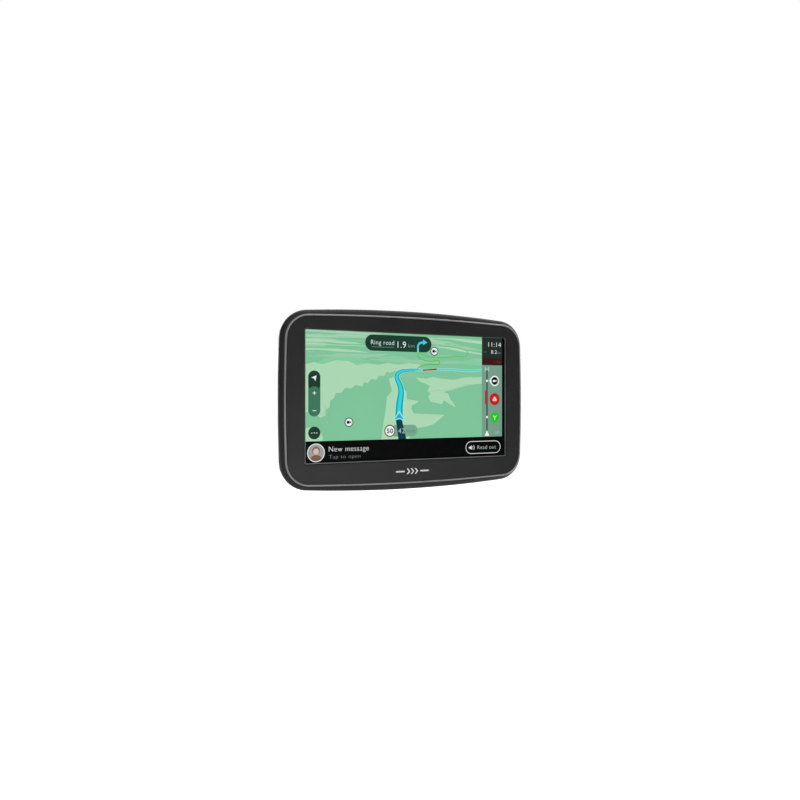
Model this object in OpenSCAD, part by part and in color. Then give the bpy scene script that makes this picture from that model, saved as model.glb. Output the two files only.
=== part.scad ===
// Portable satellite navigator on a tilting suction-cup windscreen mount.
// X runs to the right of the screen, Y from the driver to the glass, and Z up.
// The origin is the centre of the suction cup's face, where it lies on the glass.

/* [Screen] */
// Width of the window in the front moulding
window_w = 135.5; // [115:0.1:161]
// Height of the window in the front moulding
window_h = 75.2; // [64:0.1:91]
// Thickness of the touch panel
touch_t = 1.1; // [0.8:0.1:1.5]
// Thickness of the liquid-crystal panel
lcd_t = 1.5; // [1.2:0.1:1.8]
// Thickness of the light guide behind the panel
guide_t = 2; // [1.6:0.1:2.4]
// How far the touch panel reaches under the rim of the window
panel_lap = 2.9; // [2:0.1:3.2]

/* [Case] */
// From the window's side edge to the widest line of the case
side_border = 13.7; // [13.4:0.1:17]
// From the window's top edge to the widest line of the case
top_border = 13.4; // [12.6:0.1:16]
// From the window's bottom edge to the widest line of the case
bottom_border = 17.3; // [15.8:0.1:20]
// Depth from the front face to the flat of the back
case_d = 20.5; // [19.9:0.1:24.6]
// Corner radius at the widest line
corner_r = 16; // [13.4:0.2:19.2]
// How far the left and right sides bow out
side_bow = 1.25; // [1:0.05:1.5]
// How far the top and bottom sides bow out
top_bow = 3.7; // [3.3:0.05:4.7]
// Wall thickness of the mouldings
wall = 1.8; // [1.5:0.1:2.15]
// Depth of the front moulding, from the face to the seam
front_d = 6.5; // [6.4:0.1:7]
// Thickness of the face over the touch panel
face_t = 1.3; // [1.1:0.1:1.5]
// From the widest line in to the flat face at top and bottom
face_inset = 4.8; // [4.2:0.1:5.4]
// The same at the two sides
face_side = 2.9; // [2.5:0.1:3.4]
// Corner radius of the flat face
face_corner = 13.2; // [11.4:0.2:15.8]
// How far the flat face's top and bottom bow
face_bow = 2; // [1.6:0.1:2.4]
// Width of the trim bead round the face
trim_w = 1.25; // [1:0.05:1.5]
// How far the back rolls in from the seam to the flat
back_roll = 29; // [22:0.5:30]

/* [Electronics] */
// Thickness of the main board
board_t = 1.2; // [1:0.1:1.6]
// Right-hand edge of the main board
board_right = 16; // [10:0.5:17.5]
// Width of the battery
battery_w = 44; // [36:0.5:46]
// Height of the battery
battery_h = 52; // [44:0.5:62]
// Thickness of the battery
battery_t = 4.6; // [3.8:0.1:5]
// Side of the square aerial
aerial_w = 18; // [15:0.5:21]
// How far the power button travels
power_travel = 0.4; // [0.3:0.05:0.5]
// How far the reset plunger travels
reset_travel = 0.25; // [0.2:0.05:0.3]

/* [Speaker hub] */
// Radius of the round hub on the back
hub_r = 20; // [18.5:0.5:24]
// How far the hub stands out of the flat back
hub_h = 5.5; // [5:0.1:6.6]
// Outer radius of the loudspeaker
speaker_r = 15.6; // [13:0.1:16]

/* [Mount] */
// From the tilt axis to the glass
reach = 48.2; // [46.5:0.1:57.6]
// Radius of the pivot screws' shoulders
pivot_r = 2.5; // [2:0.1:3]
// Radius of the ears round the pivot screws
ear_r = 5.2; // [4.8:0.1:5.4]
// Thickness of the bail
bail_t = 4; // [3.4:0.1:4.8]
// Half the width of the bail at its far end
bail_half = 8; // [7:0.5:9.5]
// Outer radius of the cup housing
housing_r = 22; // [19:0.5:23]
// Radius of the suction cup's lip
cup_r = 30; // [28:0.5:35]
// Width of the flat rim that lies on the glass
rim_w = 7; // [6:0.5:8]
// How far the stem lifts the middle of the cup
stem_lift = 2; // [1.6:0.1:2.2]
// Number of grips round the lock ring
grip_count = 24; // [18:1:28]

/* [Clearances] */
// Gap between parts that are fixed together
fit_gap = 0.1; // [0.05:0.01:0.15]
// Radial gap of a shaft that turns or slides in its bore
run_gap = 0.05; // [0.03:0.01:0.08]
// Gap beside parts that move past each other
move_gap = 0.3; // [0.2:0.05:0.35]
// Gap between the front and rear mouldings at the seam
seam_gap = 0.25; // [0.15:0.05:0.3]

/* [Hidden] */
$fn = 48;
eps = 0.01;

// Case outline: four bowed sides on fixed centres, joined by four round corners.
// Near the widest line an inset outline is parallel to it; further in, its corners open up again.
case_w = window_w + 2 * side_border;
case_h = window_h + top_border + bottom_border;
window_z = (bottom_border - top_border) / 2;
half_w = case_w / 2;
half_h = case_h / 2;
top_r = (half_w * half_w + top_bow * top_bow) / (2 * top_bow);
side_r = (half_h * half_h + side_bow * side_bow) / (2 * side_bow);
top_c = [0, half_h - top_r];
side_c = [half_w - side_r, 0];
tight_inset = corner_r * 0.375;
tight_r = corner_r - tight_inset;

// The flat face has an outline of its own, flatter and nearer to the widest line at its sides.
face_half_w = half_w - face_side;
face_half_h = half_h - face_inset;
face_top_r = (face_half_w * face_half_w + face_bow * face_bow) / (2 * face_bow);
face_side_r = (face_half_h * face_half_h + side_bow * side_bow) / (2 * side_bow);

function bend(inset) = max(corner_r - inset, tight_r + 0.3 * (inset - tight_inset));
// Centre of the corner of radius r that touches both bowed sides.
function corner_c(r, top, side, at_top, at_side) = let (
    between = at_side - at_top,
    to_top = top - r,
    along = (norm(between) ^ 2 + to_top ^ 2 - (side - r) ^ 2) / (2 * norm(between)),
    across = sqrt(to_top ^ 2 - along ^ 2))
    at_top + (between * along + [between[1], -between[0]] * across) / norm(between);
// A quarter of an outline: top arc, corner, side arc, by their radii and centres.
function quarter(r, top, side, at_top, at_side) = let (
    c = corner_c(r, top, side, at_top, at_side),
    top_end = atan2(c[0] - at_top[0], c[1] - at_top[1]),
    side_end = 90 - atan2(c[1] - at_side[1], c[0] - at_side[0])) concat(
    [for (i = [0 : 4]) let (t = top_end * i / 5) at_top + top * [sin(t), cos(t)]],
    [for (i = [0 : 6]) let (t = top_end + (side_end - top_end) * i / 6) c + r * [sin(t), cos(t)]],
    [for (i = [1 : 3]) let (t = side_end + (90 - side_end) * i / 3) at_side + side * [sin(t), cos(t)]]);
// The whole outline from its quarter, clockwise from the top.
function all_round(q) = let (n = len(q)) concat(
    q,
    [for (i = [n - 2 : -1 : 0]) [q[i][0], -q[i][1]]],
    [for (i = [1 : n - 1]) [-q[i][0], -q[i][1]]],
    [for (i = [n - 2 : -1 : 1]) [-q[i][0], q[i][1]]]);
// Outline at an inset from the widest line.
function outline(inset) = all_round(quarter(bend(inset), top_r - inset, side_r - inset, top_c, side_c));
// Outline of the flat face, grown by g.
function face_outline(g) = all_round(quarter(face_corner + g, face_top_r + g, face_side_r + g,
    [0, face_half_h - face_top_r], [face_half_w - face_side_r, 0]));
// Outline of the front: the face's out to the trim, then a blend to the widest line.
function front_outline(inset) = inset >= flare ? face_outline(face_inset - inset) : let (
    near = face_outline(trim_w),
    far = outline(0),
    s = inset / flare)
    [for (i = [0 : len(far) - 1]) near[i] * s + far[i] * (1 - s)];
// Height of the outline's top side at a distance x from the middle.
function edge_z(x, inset) = top_c[1] + sqrt((top_r - inset) ^ 2 - x * x);
// Sections [depth, inset] moved inwards by a wall's thickness.
function inward(s, t) = [for (i = [0 : len(s) - 1])
    let (d = s[min(i + 1, len(s) - 1)] - s[max(i - 1, 0)]) s[i] + t * [-d[1], d[0]] / norm(d)];

// Depths inside the case, from the front face.
trim_d = 0.9;
seam_y = front_d + seam_gap;
seam_inset = 0.5;
flare = face_inset - trim_w;
widest_d = 3.4;
front_outer = [[0, face_inset], [trim_d, face_inset], [trim_d, flare], [1.5, flare - 1.4],
    [2.3, flare - 2.7], [widest_d, 0], [4.9, 0.05], [front_d, seam_inset - 0.05]];
rear_outer = [for (i = [0 : 8]) let (t = 90 * i / 8)
    [seam_y + (case_d - seam_y) * sin(t), seam_inset + back_roll * (1 - cos(t))]];
rear_inner = [for (i = [2 : 8]) inward(rear_outer, wall)[i]];
touch_y = face_t + 0.3;
lcd_y = touch_y + touch_t + 0.15;
guide_y = lcd_y + lcd_t;
tray_t = 0.3;
tray_back = guide_y + guide_t + tray_t;
chassis_y = tray_back + 0.2;
chassis_t = 1.2;
chassis_back = chassis_y + chassis_t;
board_y = chassis_back + 1.3;
board_back = board_y + board_t;
tongue = [wall + seam_inset + fit_gap, 1];
inner_inset = tongue[0] + tongue[1] + 0.5;

// Case screws stand clear above and below the screen.
screw_r = 0.9;
head_r = 2.1;
head_t = 1.3;
boss_r = 2.6;
boss_in = 5.6;
boss_x = half_w - 29.2;
boss_z = edge_z(boss_x, boss_in);
case_screw_at = [for (x = [-boss_x, boss_x], z = [-boss_z, boss_z]) [x, z]];
head_y = chassis_back + 3.2;

// Main board, its sockets along the bottom edge and its button at the top.
board_left = -(half_w - 10);
board_inset = 6.4;
port_y = board_back + 1.4;
usb_x = -22;
usb_w = 7.6;
usb_t = 2.8;
card_x = -37.5;
card_w = 14;
card_t = 1.5;
mic_x = 11;
reset_x = 2;
power_x = -(half_w - 49);
power_w = 14;
power_d = 4.6;
button_y = board_back + 1.6;
flange = 0.7;
switch_w = 5;
switch_h = 3.4;
button_wall = edge_z(abs(power_x), wall + 3.9);
power_seat = button_wall - 3.4;
button_proud = 0.3 + power_travel;
reset_seat = -edge_z(reset_x, board_inset + 0.9);
board_screw_at = [[board_left + 8, half_h - 18], [board_left + 8, -(half_h - 18)],
    [board_right - 5, half_h - 13], [board_right - 5, -(half_h - 13)]];
aerial_at = [board_left + 10 + aerial_w / 2, half_h - 30];
cpu_at = [board_left + 32, -6];
cpu_w = 26;
radio_at = [board_left + 44, half_h - 25];
radio_w = 17;
can_h = 2;
battery_x = board_right + 3.5;
pad_t = 0.2;
battery_y = chassis_back + pad_t;

// Hub, moat round it, and loudspeaker inside it.
pivot_y = case_d + 0.5;
moat_y = pivot_y - ear_r - move_gap;
moat_floor = moat_y - wall;
seat_x = hub_r + 0.6;
washer_t = 0.5;
ear_x = seat_x + washer_t + fit_gap;
leg = ear_r + 0.2;
moat_r = norm([ear_x + bail_t, ear_r]) + 1.3;
hub_back = case_d + hub_h;
hub_bore = speaker_r + 0.4;
speaker_back = hub_back - wall - 0.8;
cone_d = 4;
magnet_r = 8;
magnet_d = 3.2;
grille_r = speaker_r - 1;
grille_t = 1.2;
slot_w = 1.6;
slot_pitch = 3.1;

// Mount, measured from the glass.
case_to_glass = reach + pivot_y;
bail_in = ear_x;
bail_out = bail_in + bail_t;
apex_y = -reach + leg + bail_out;
housing_back = -16.2;
housing_t = 1.8;
cap_r = housing_r + 2.6;
ring_in = housing_r + move_gap;
ring_out = cup_r - 1.8;
ring_y = [housing_back + housing_t + move_gap, -5.9];
pad_r = 11;
bail_screw_x = 7;
rim_y = -4.9;
stem_r = 3;
foot_r = 8;
foot_t = 1.6;
foot_y = -6.7;
pin_r = 1.2;
pin_y = -11.2;
pin_half = ring_in + 2.4;
groove_r = pin_half + 0.3;
groove_y = [pin_y - pin_r - move_gap - 0.3, -6.9];
dome = 3;
ramp_steps = 8;

// Wires lie loose inside the case: points are [x, depth, z].
wire_r = 0.5;
battery_wire = [[battery_x + 8, battery_y + 2.4, battery_h / 2 + 0.42],
    [battery_x + 8, battery_y + 2.6, battery_h / 2 + 2],
    [battery_x + 6, battery_y + 2.8, battery_h / 2 + 4],
    [battery_x + 2, battery_y + 3, battery_h / 2 + 4.6],
    [battery_x - 2, battery_y + 3.2, battery_h / 2 + 4.2],
    [board_right - 1.5, board_back + 1.4, battery_h / 2 + 4]];
speaker_wire = [[-magnet_r - 4.2, speaker_back - cone_d - 0.9, 1.5],
    [-magnet_r - 4.6, speaker_back - cone_d - 2.6, 0.5],
    [-magnet_r - 5, board_back + 3.2, -2],
    [-magnet_r - 5, board_back + 1.8, -6],
    [-magnet_r - 5, board_back + 1.4, -9]];

module in_case() { translate([0, -case_to_glass, 0]) children(); }
module block(x, y, z) {
    translate([x[0], y[0], z[0]]) cube([x[1] - x[0], y[1] - y[0], z[1] - z[0]]);
}
module rod_y(r, y) { translate([0, y[0], 0]) rotate([-90, 0, 0]) cylinder(r = r, h = y[1] - y[0]); }
module rod_x(r, x) { translate([x[0], 0, 0]) rotate([0, 90, 0]) cylinder(r = r, h = x[1] - x[0]); }
module at_xz(p) { translate([p[0], 0, p[1]]) children(); }
module on_both_sides() { for (s = [0, 1]) mirror([s, 0, 0]) children(); }
// A plate of the outline between two depths.
module plate(inset, y) { rotate([90, 0, 0]) translate([0, 0, -y[1]]) linear_extrude(y[1] - y[0]) polygon(outline(inset)); }
// A solid skinned over sections [depth, inset] of the outline, or of the front's outline.
module loft(s, front = false) {
    rings = [for (p = s) let (flat = front && p[0] < widest_d)
        [for (q = flat ? front_outline(p[1]) : outline(p[1])) [q[0], p[0], q[1]]]];
    n = len(rings[0]);
    last = len(s) - 1;
    polyhedron(
        points = [for (r = rings) each r],
        faces = concat(
            [[for (i = [0 : n - 1]) i]],
            [for (k = [0 : last - 1], i = [0 : n - 1]) let (j = (i + 1) % n)
                each [[k * n + i, (k + 1) * n + i, (k + 1) * n + j], [k * n + i, (k + 1) * n + j, k * n + j]]],
            [[for (i = [n - 1 : -1 : 0]) last * n + i]]),
        convexity = 6);
}
// A slot with round ends: length along X, width along Z, cut along Y.
module slot_y(l, w, y) {
    block([-(l - w) / 2, (l - w) / 2], y, [-w / 2, w / 2]);
    for (s = [-1, 1]) translate([s * (l - w) / 2, 0, 0]) rod_y(w / 2, y);
}
// A pill: length along X, depth along Y, standing along Z.
module pill_z(l, d, z) {
    translate([-(l - d) / 2, -d / 2, z[0]]) cube([l - d, d, z[1] - z[0]]);
    for (s = [-1, 1]) translate([s * (l - d) / 2, 0, z[0]]) cylinder(r = d / 2, h = z[1] - z[0]);
}
module ring_y(r, y) { difference() { rod_y(r[1], y); rod_y(r[0], [y[0] - 1, y[1] + 1]); } }
// A round wire swept along points.
module wire(p, r) {
    n = len(p);
    dirs = [for (i = [0 : n - 1]) let (d = p[min(i + 1, n - 1)] - p[max(i - 1, 0)]) d / norm(d)];
    sides = [for (d = dirs) let (s = cross(d, [0.2, 1, 0.1])) s / norm(s)];
    ringed = [for (i = [0 : n - 1]) [for (a = [0 : 45 : 315])
        p[i] + r * (cos(a) * sides[i] + sin(a) * cross(dirs[i], sides[i]))]];
    polyhedron(
        points = [for (q = ringed) each q],
        faces = concat(
            [[for (a = [0 : 7]) a]],
            [for (k = [0 : n - 2], a = [0 : 7]) let (b = (a + 1) % 8)
                each [[k * 8 + b, k * 8 + a, (k + 1) * 8 + b], [(k + 1) * 8 + b, k * 8 + a, (k + 1) * 8 + a]]],
            [[for (a = [7 : -1 : 0]) (n - 1) * 8 + a]]));
}
module two_wires(p, gap) { for (s = [-1, 1]) translate([s * gap / 2, 0, s * gap / 2]) wire(p, wire_r); }

// The screen's rectangle grown by g on every side, between two depths.
module screen_block(g, y) {
    block([-window_w / 2 - g, window_w / 2 + g], y,
        [window_z - window_h / 2 - g, window_z + window_h / 2 + g]);
}

// ---- Front moulding and screen ----

module front_bezel() color([0.16, 0.16, 0.17]) in_case() {
    difference() {
        loft(front_outer, front = true);
        loft(concat([[face_t, wall + 3.3], [2.2, wall + 1.4], [3.4, wall + 0.3], [4.9, wall + 0.25],
            [front_d + 1, wall + seam_inset - 0.1]]));
        screen_block(0, [-1, face_t + 1]);
    }
    for (p = case_screw_at) at_xz(p) difference() {
        rod_y(boss_r, [face_t - eps, chassis_y - fit_gap]);
        rod_y(screw_r + run_gap, [face_t + 1, chassis_y + 1]);
    }
}

module trim_ring() color([0.45, 0.45, 0.46]) in_case() difference() {
    loft([[-0.22, face_inset - 0.3], [-0.16, face_inset - 0.62], [0.1, flare + 0.25],
        [0.45, flare + 0.04], [trim_d - fit_gap / 2, flare]], front = true);
    loft([[-1, face_inset - fit_gap / 2], [2, face_inset - fit_gap / 2]], front = true);
}

module window_gasket() color([0.05, 0.05, 0.05]) in_case() difference() {
    screen_block(panel_lap - 0.2, [face_t + 0.02, touch_y - 0.02]);
    screen_block(0.9, [0, touch_y + 1]);
}

module touch_panel() color([0.1, 0.12, 0.13, 0.6]) in_case()
    screen_block(panel_lap, [touch_y, touch_y + touch_t]);

module lcd_panel() color([0.45, 0.75, 0.6]) in_case()
    screen_block(panel_lap - tray_t - 0.3, [lcd_y, lcd_y + lcd_t]);

module light_guide() color([0.9, 0.95, 0.95, 0.7]) in_case() difference() {
    screen_block(panel_lap - tray_t - 0.3, [guide_y + eps, guide_y + guide_t - eps]);
    block([-case_w, case_w], [0, case_d], [-case_h, window_z - window_h / 2 + 0.4]);
}

module led_bar() color([0.95, 0.9, 0.7]) in_case() {
    bar_z = window_z - window_h / 2 - panel_lap + tray_t + 0.4;
    block([-window_w / 2, window_w / 2], [guide_y + 0.1, guide_y + guide_t - 0.1], [bar_z, bar_z + 0.8]);
    for (i = [-4 : 4]) translate([i * window_w / 9.5, 0, 0])
        block([-1.5, 1.5], [guide_y + 0.4, guide_y + guide_t - 0.4], [bar_z + 0.8 - eps, bar_z + 2]);
}

module lcd_tray() color([0.7, 0.7, 0.72]) in_case() difference() {
    screen_block(panel_lap, [lcd_y, tray_back]);
    screen_block(panel_lap - tray_t, [lcd_y - 1, tray_back - tray_t]);
    block([-12, 12], [0, tray_back - tray_t], [-half_h, window_z - window_h / 2]);
}

// A flat cable that leaves a panel's bottom edge and folds back behind the chassis.
module ribbon(x, w, y, t) {
    edge = window_z - window_h / 2 - panel_lap;
    block([x, x + w], [y, chassis_back + 0.5 + t], [edge - 0.9 - t, edge - 0.9]);
    block([x, x + w], [y, y + t], [edge - 0.9 - eps, edge + 0.2]);
    block([x, x + w], [chassis_back + 0.5, chassis_back + 0.5 + t], [edge - 0.9 - eps, edge + 5]);
}
module lcd_ribbon() color([0.8, 0.5, 0.15]) in_case() ribbon(-11, 19, guide_y + guide_t - 0.5, 0.25);
module touch_ribbon() color([0.75, 0.45, 0.12]) in_case()
    difference() {
        translate([0, 0, -0.6]) ribbon(18, 8, touch_y + touch_t + 0.02, 0.2);
        block([0, 40], [touch_y + touch_t, lcd_y + 4], [window_z - window_h / 2 - panel_lap - 0.02, half_h]);
        block([0, 40], [0, chassis_back + 2], [window_z - window_h / 2 - panel_lap + 4.2, half_h]);
    }

// ---- Chassis and board ----

module chassis() color([0.3, 0.31, 0.33]) in_case() difference() {
    union() {
        plate(inner_inset, [chassis_y, chassis_back]);
        for (p = board_screw_at) at_xz(p) rod_y(2.4, [chassis_back - eps, board_y - fit_gap]);
        // Fence round the battery.
        difference() {
            block([battery_x - 1.6, battery_x + battery_w + 1.6], [chassis_back - eps, chassis_back + 2],
                [-battery_h / 2 - 1.6, battery_h / 2 + 1.6]);
            block([battery_x - 0.6, battery_x + battery_w + 0.6], [chassis_back - 1, chassis_back + 3],
                [-battery_h / 2 - 0.6, battery_h / 2 + 0.6]);
            block([battery_x + 3, battery_x + 13], [chassis_back, chassis_back + 3], [0, half_h]);
        }
    }
    for (p = case_screw_at) at_xz(p) rod_y(screw_r + 0.4, [0, case_d]);
    for (p = board_screw_at) at_xz(p) rod_y(screw_r + run_gap, [chassis_back - 0.8, case_d]);
    // Slot for the ribbons.
    block([-12, 28], [0, case_d], [window_z - window_h / 2 - panel_lap - 2.2, window_z - window_h / 2 - panel_lap - 0.4]);
    // Lightening windows behind the battery and the board.
    block([battery_x + 6, battery_x + battery_w - 6], [0, case_d], [-battery_h / 2 + 8, battery_h / 2 - 8]);
    for (z = [-1, 1]) block([cpu_at[0] + 18, board_right - 12], [0, case_d], [z * 15 - 7, z * 15 + 7]);
}

module main_board() color([0.05, 0.3, 0.16]) in_case() difference() {
    intersection() {
        plate(board_inset, [board_y, board_back]);
        block([board_left, board_right], [0, case_d], [-half_h, half_h]);
    }
    for (p = case_screw_at) at_xz(p) rod_y(boss_r + 1.2, [0, case_d]);
    for (p = board_screw_at) at_xz(p) rod_y(screw_r + 0.3, [0, case_d]);
    // Room for the power button's flange and its stem.
    block([power_x - power_w / 2 - 2, power_x + power_w / 2 + 2], [0, case_d], [power_seat + 0.6, half_h]);
}

module screw(tip_y, seat_y, r, head, cap) {
    rod_y(r, [tip_y, seat_y + eps]);
    difference() {
        rod_y(head, [seat_y, seat_y + cap]);
        for (a = [0, 90]) rotate([0, a, 0]) block([-head * 0.6, head * 0.6], [seat_y + cap - 0.6, seat_y + cap + 1], [-0.25, 0.25]);
    }
}
module board_screws() color([0.75, 0.75, 0.76]) in_case()
    for (p = board_screw_at) at_xz(p) screw(chassis_back - 0.6, board_back, screw_r, 1.9, 0.9);

module case_screws() color([0.25, 0.25, 0.26]) in_case()
    for (p = case_screw_at) at_xz(p) screw(face_t + 1.4, head_y, screw_r, head_r, head_t);

// A component on the back of the board, centred at p.
module chip(p, size, h) {
    block([p[0] - size[0] / 2, p[0] + size[0] / 2], [board_back, board_back + h],
        [p[1] - size[1] / 2, p[1] + size[1] / 2]);
}
module board_chips() color([0.1, 0.1, 0.1]) in_case() {
    chip(cpu_at + [-5, 0], [12, 12], 1.1);
    chip(cpu_at + [6.5, 4], [7, 9], 0.9);
    chip(cpu_at + [6.5, -5.5], [6, 6], 0.8);
    chip(radio_at, [7, 7], 0.9);
    chip([board_right - 10, -14], [6, 6], 1);
    chip([board_right - 10, 12], [5, 4], 1);
    for (i = [0 : 5]) chip([board_right - 26 + 3 * i, -28], [1.6, 0.9], 0.6);
    for (i = [0 : 4]) chip([board_left + 9, -20 + 4 * i], [1, 2], 0.7);
}

// A pressed-metal lid, open towards the board.
module can(p, w, h) {
    difference() {
        chip(p, [w, h], can_h);
        translate([0, -0.25, 0]) chip(p, [w - 0.5, h - 0.5], can_h);
    }
}
module shield_cans() color([0.78, 0.78, 0.8]) in_case() {
    can(cpu_at, cpu_w, 22);
    can(radio_at, radio_w, 13);
}
module thermal_pad() color([0.55, 0.6, 0.7]) in_case()
    block([cpu_at[0] - 12, cpu_at[0] + 4], [chassis_back + 0.02, board_y - 0.02], [cpu_at[1] - 8, cpu_at[1] + 8]);

module aerial() color([0.85, 0.8, 0.7]) in_case() {
    chip(aerial_at, [aerial_w, aerial_w], 0.6);
    translate([0, 0.6 - eps, 0]) chip(aerial_at, [aerial_w - 3, aerial_w - 3], 3);
}

module board_connectors() color([0.9, 0.88, 0.8]) in_case() {
    edge = window_z - window_h / 2 - panel_lap;
    block([board_right - 8.6, board_right - 2.4], [board_back, board_back + 2.6],
        [battery_h / 2 + 1.2, battery_h / 2 + 6.8]);
    chip([-magnet_r - 5, -12.8], [5, 6], 2.6);
    block([-11, 11], [chassis_back + 0.3, board_y], [edge + 5.1, edge + 8.4]);
    block([17, 27], [chassis_back + 0.3, board_y], [edge + 5.1, edge + 8.4]);
}

module usb_socket() color([0.8, 0.8, 0.82]) in_case() translate([usb_x, port_y, 0]) {
    mouth = -edge_z(usb_x, wall + 2.9);
    difference() {
        block([-usb_w / 2, usb_w / 2], [-usb_t / 2, usb_t / 2], [mouth, mouth + 5.6]);
        block([-usb_w / 2 + 0.3, usb_w / 2 - 0.3], [-usb_t / 2 + 0.3, usb_t / 2 - 0.3], [mouth - 1, mouth + 5.2]);
    }
    block([-usb_w / 2 + 1.4, usb_w / 2 - 1.4], [-0.1, 0.6], [mouth + 0.8, mouth + 5.3]);
}

module card_socket() color([0.75, 0.75, 0.77]) in_case() translate([card_x, board_back, 0]) {
    mouth = -edge_z(abs(card_x) + card_w / 2, wall + 3.9);
    difference() {
        block([-card_w / 2, card_w / 2], [0, card_t], [mouth, mouth + 14.5]);
        block([-5.7, 5.7], [0.25, card_t - 0.25], [mouth - 1, mouth + 13.8]);
    }
}

module microphone() color([0.8, 0.75, 0.5]) in_case()
    chip([mic_x, -edge_z(mic_x, board_inset + 1.9)], [3.2, 2.6], 1);

// A side-pressed switch standing on the board, its plunger towards +Z or -Z.
module switch_body(x, z, up) {
    translate([x, button_y, z]) mirror([0, 0, up ? 0 : 1]) difference() {
        block([-switch_w / 2, switch_w / 2], [board_back - button_y, 1.3], [-switch_h, 0]);
        translate([0, 0, -1.5]) cylinder(r = 0.9 + run_gap, h = 3);
    }
}
module plunger(x, z, up, out) {
    translate([x, button_y, z]) mirror([0, 0, up ? 0 : 1]) translate([0, 0, -0.7]) cylinder(r = 0.9, h = 0.7 + out);
}
module power_switch() color([0.2, 0.2, 0.2]) in_case() switch_body(power_x, power_seat, true);
module power_plunger() color([0.9, 0.9, 0.9]) in_case() plunger(power_x, power_seat, true, 0.8);
module power_button() color([0.2, 0.2, 0.21]) in_case() intersection() {
    translate([power_x, button_y, 0]) {
        pill_z(power_w, power_d, [power_seat + 1.7, half_h + 1]);
        pill_z(power_w + 2 * flange, power_d + 2 * flange, [power_seat + 1.7, power_seat + 2.5]);
        translate([0, 0, power_seat + 0.8 + eps]) cylinder(r = 1.4, h = 1);
    }
    // Its top follows the case and stands a little proud of it.
    loft(inward(rear_outer, -button_proud));
}
module reset_switch() color([0.2, 0.2, 0.2]) in_case() switch_body(reset_x, reset_seat, false);
module reset_plunger() color([0.85, 0.2, 0.15]) in_case() plunger(reset_x, reset_seat, false, 0.5);

// ---- Battery ----

module battery() color([0.75, 0.77, 0.8]) in_case() {
    block([battery_x, battery_x + battery_w], [battery_y, battery_y + battery_t], [-battery_h / 2, battery_h / 2 - 3]);
    block([battery_x + 1.5, battery_x + battery_w - 1.5], [battery_y + 1.4, battery_y + 3.4],
        [battery_h / 2 - 3 - eps, battery_h / 2 - 0.4]);
}
module battery_tape() color([0.2, 0.3, 0.6]) in_case()
    block([battery_x + 0.5, battery_x + 5.6], [chassis_back + 0.01, battery_y - 0.01], [-battery_h / 2 + 3, battery_h / 2 - 5]);
module battery_lead() color([0.7, 0.1, 0.1]) in_case() two_wires(battery_wire, 1.4);

// ---- Rear moulding ----

// The hub, the moat's floor and the moat's outer wall, turned about Y.
module hub_solid() rotate([-90, 0, 0]) rotate_extrude($fn = 72) polygon([
    [hub_bore, moat_floor], [moat_r + wall, moat_floor], [moat_r + wall, case_d - wall / 2],
    [moat_r, case_d - wall / 2], [moat_r, moat_y], [hub_r, moat_y], [hub_r, hub_back - 1.2],
    [hub_r - 1.2, hub_back], [grille_r + fit_gap, hub_back], [grille_r + fit_gap, hub_back - grille_t],
    [grille_r - 1, hub_back - grille_t], [grille_r - 1, hub_back - wall], [hub_bore, hub_back - wall]]);

module case_bosses() {
    for (p = case_screw_at) at_xz(p) rod_y(boss_r + 0.6, [chassis_back + fit_gap, case_d]);
}

module rear_cover() color([0.14, 0.14, 0.15]) in_case() difference() {
    union() {
        difference() {
            loft(concat([[front_d - 2, tongue[0]], [seam_y, tongue[0]]], rear_outer));
            difference() {
                loft(concat([[front_d - 3, tongue[0] + tongue[1]],
                    [seam_y + 1, tongue[0] + tongue[1]]], rear_inner));
                case_bosses();
            }
            rod_y(moat_r, [moat_floor, case_d + 1]);
        }
        hub_solid();
        on_both_sides() translate([0, pivot_y, 0]) rod_x(ear_r - 0.4, [hub_bore + 0.5, seat_x]);
    }
    for (p = case_screw_at) at_xz(p) {
        rod_y(boss_r + move_gap, [0, chassis_y]);
        rod_y(screw_r + 0.3, [0, case_d]);
        rod_y(head_r + 0.4, [head_y, case_d + 1]);
    }
    on_both_sides() translate([0, pivot_y, 0]) rod_x(1.5 + run_gap, [hub_bore - 1, seat_x + 1]);
    // Ports in the bottom edge and the button's hole in the top edge.
    block([usb_x - usb_w / 2 - 0.8, usb_x + usb_w / 2 + 0.8], [port_y - usb_t / 2 - 0.5, port_y + usb_t / 2 + 0.5],
        [-half_h - 1, -half_h + 11]);
    block([card_x - 6.2, card_x + 6.2], [board_back + 0.1, board_back + card_t - 0.1], [-half_h - 1, -half_h + 14]);
    translate([reset_x, button_y, -half_h - 1]) cylinder(r = 0.8, h = 9);
    translate([mic_x, board_back + 0.8, -half_h - 1]) cylinder(r = 0.5, h = 9);
    translate([power_x, button_y, 0]) {
        pill_z(power_w + 2 * run_gap, power_d + 2 * run_gap, [power_seat + 2, half_h + 1]);
        pill_z(power_w + 2 * (flange + move_gap), power_d + 2 * (flange + move_gap), [power_seat, power_seat + 2.8]);
    }
}

// ---- Loudspeaker ----

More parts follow.
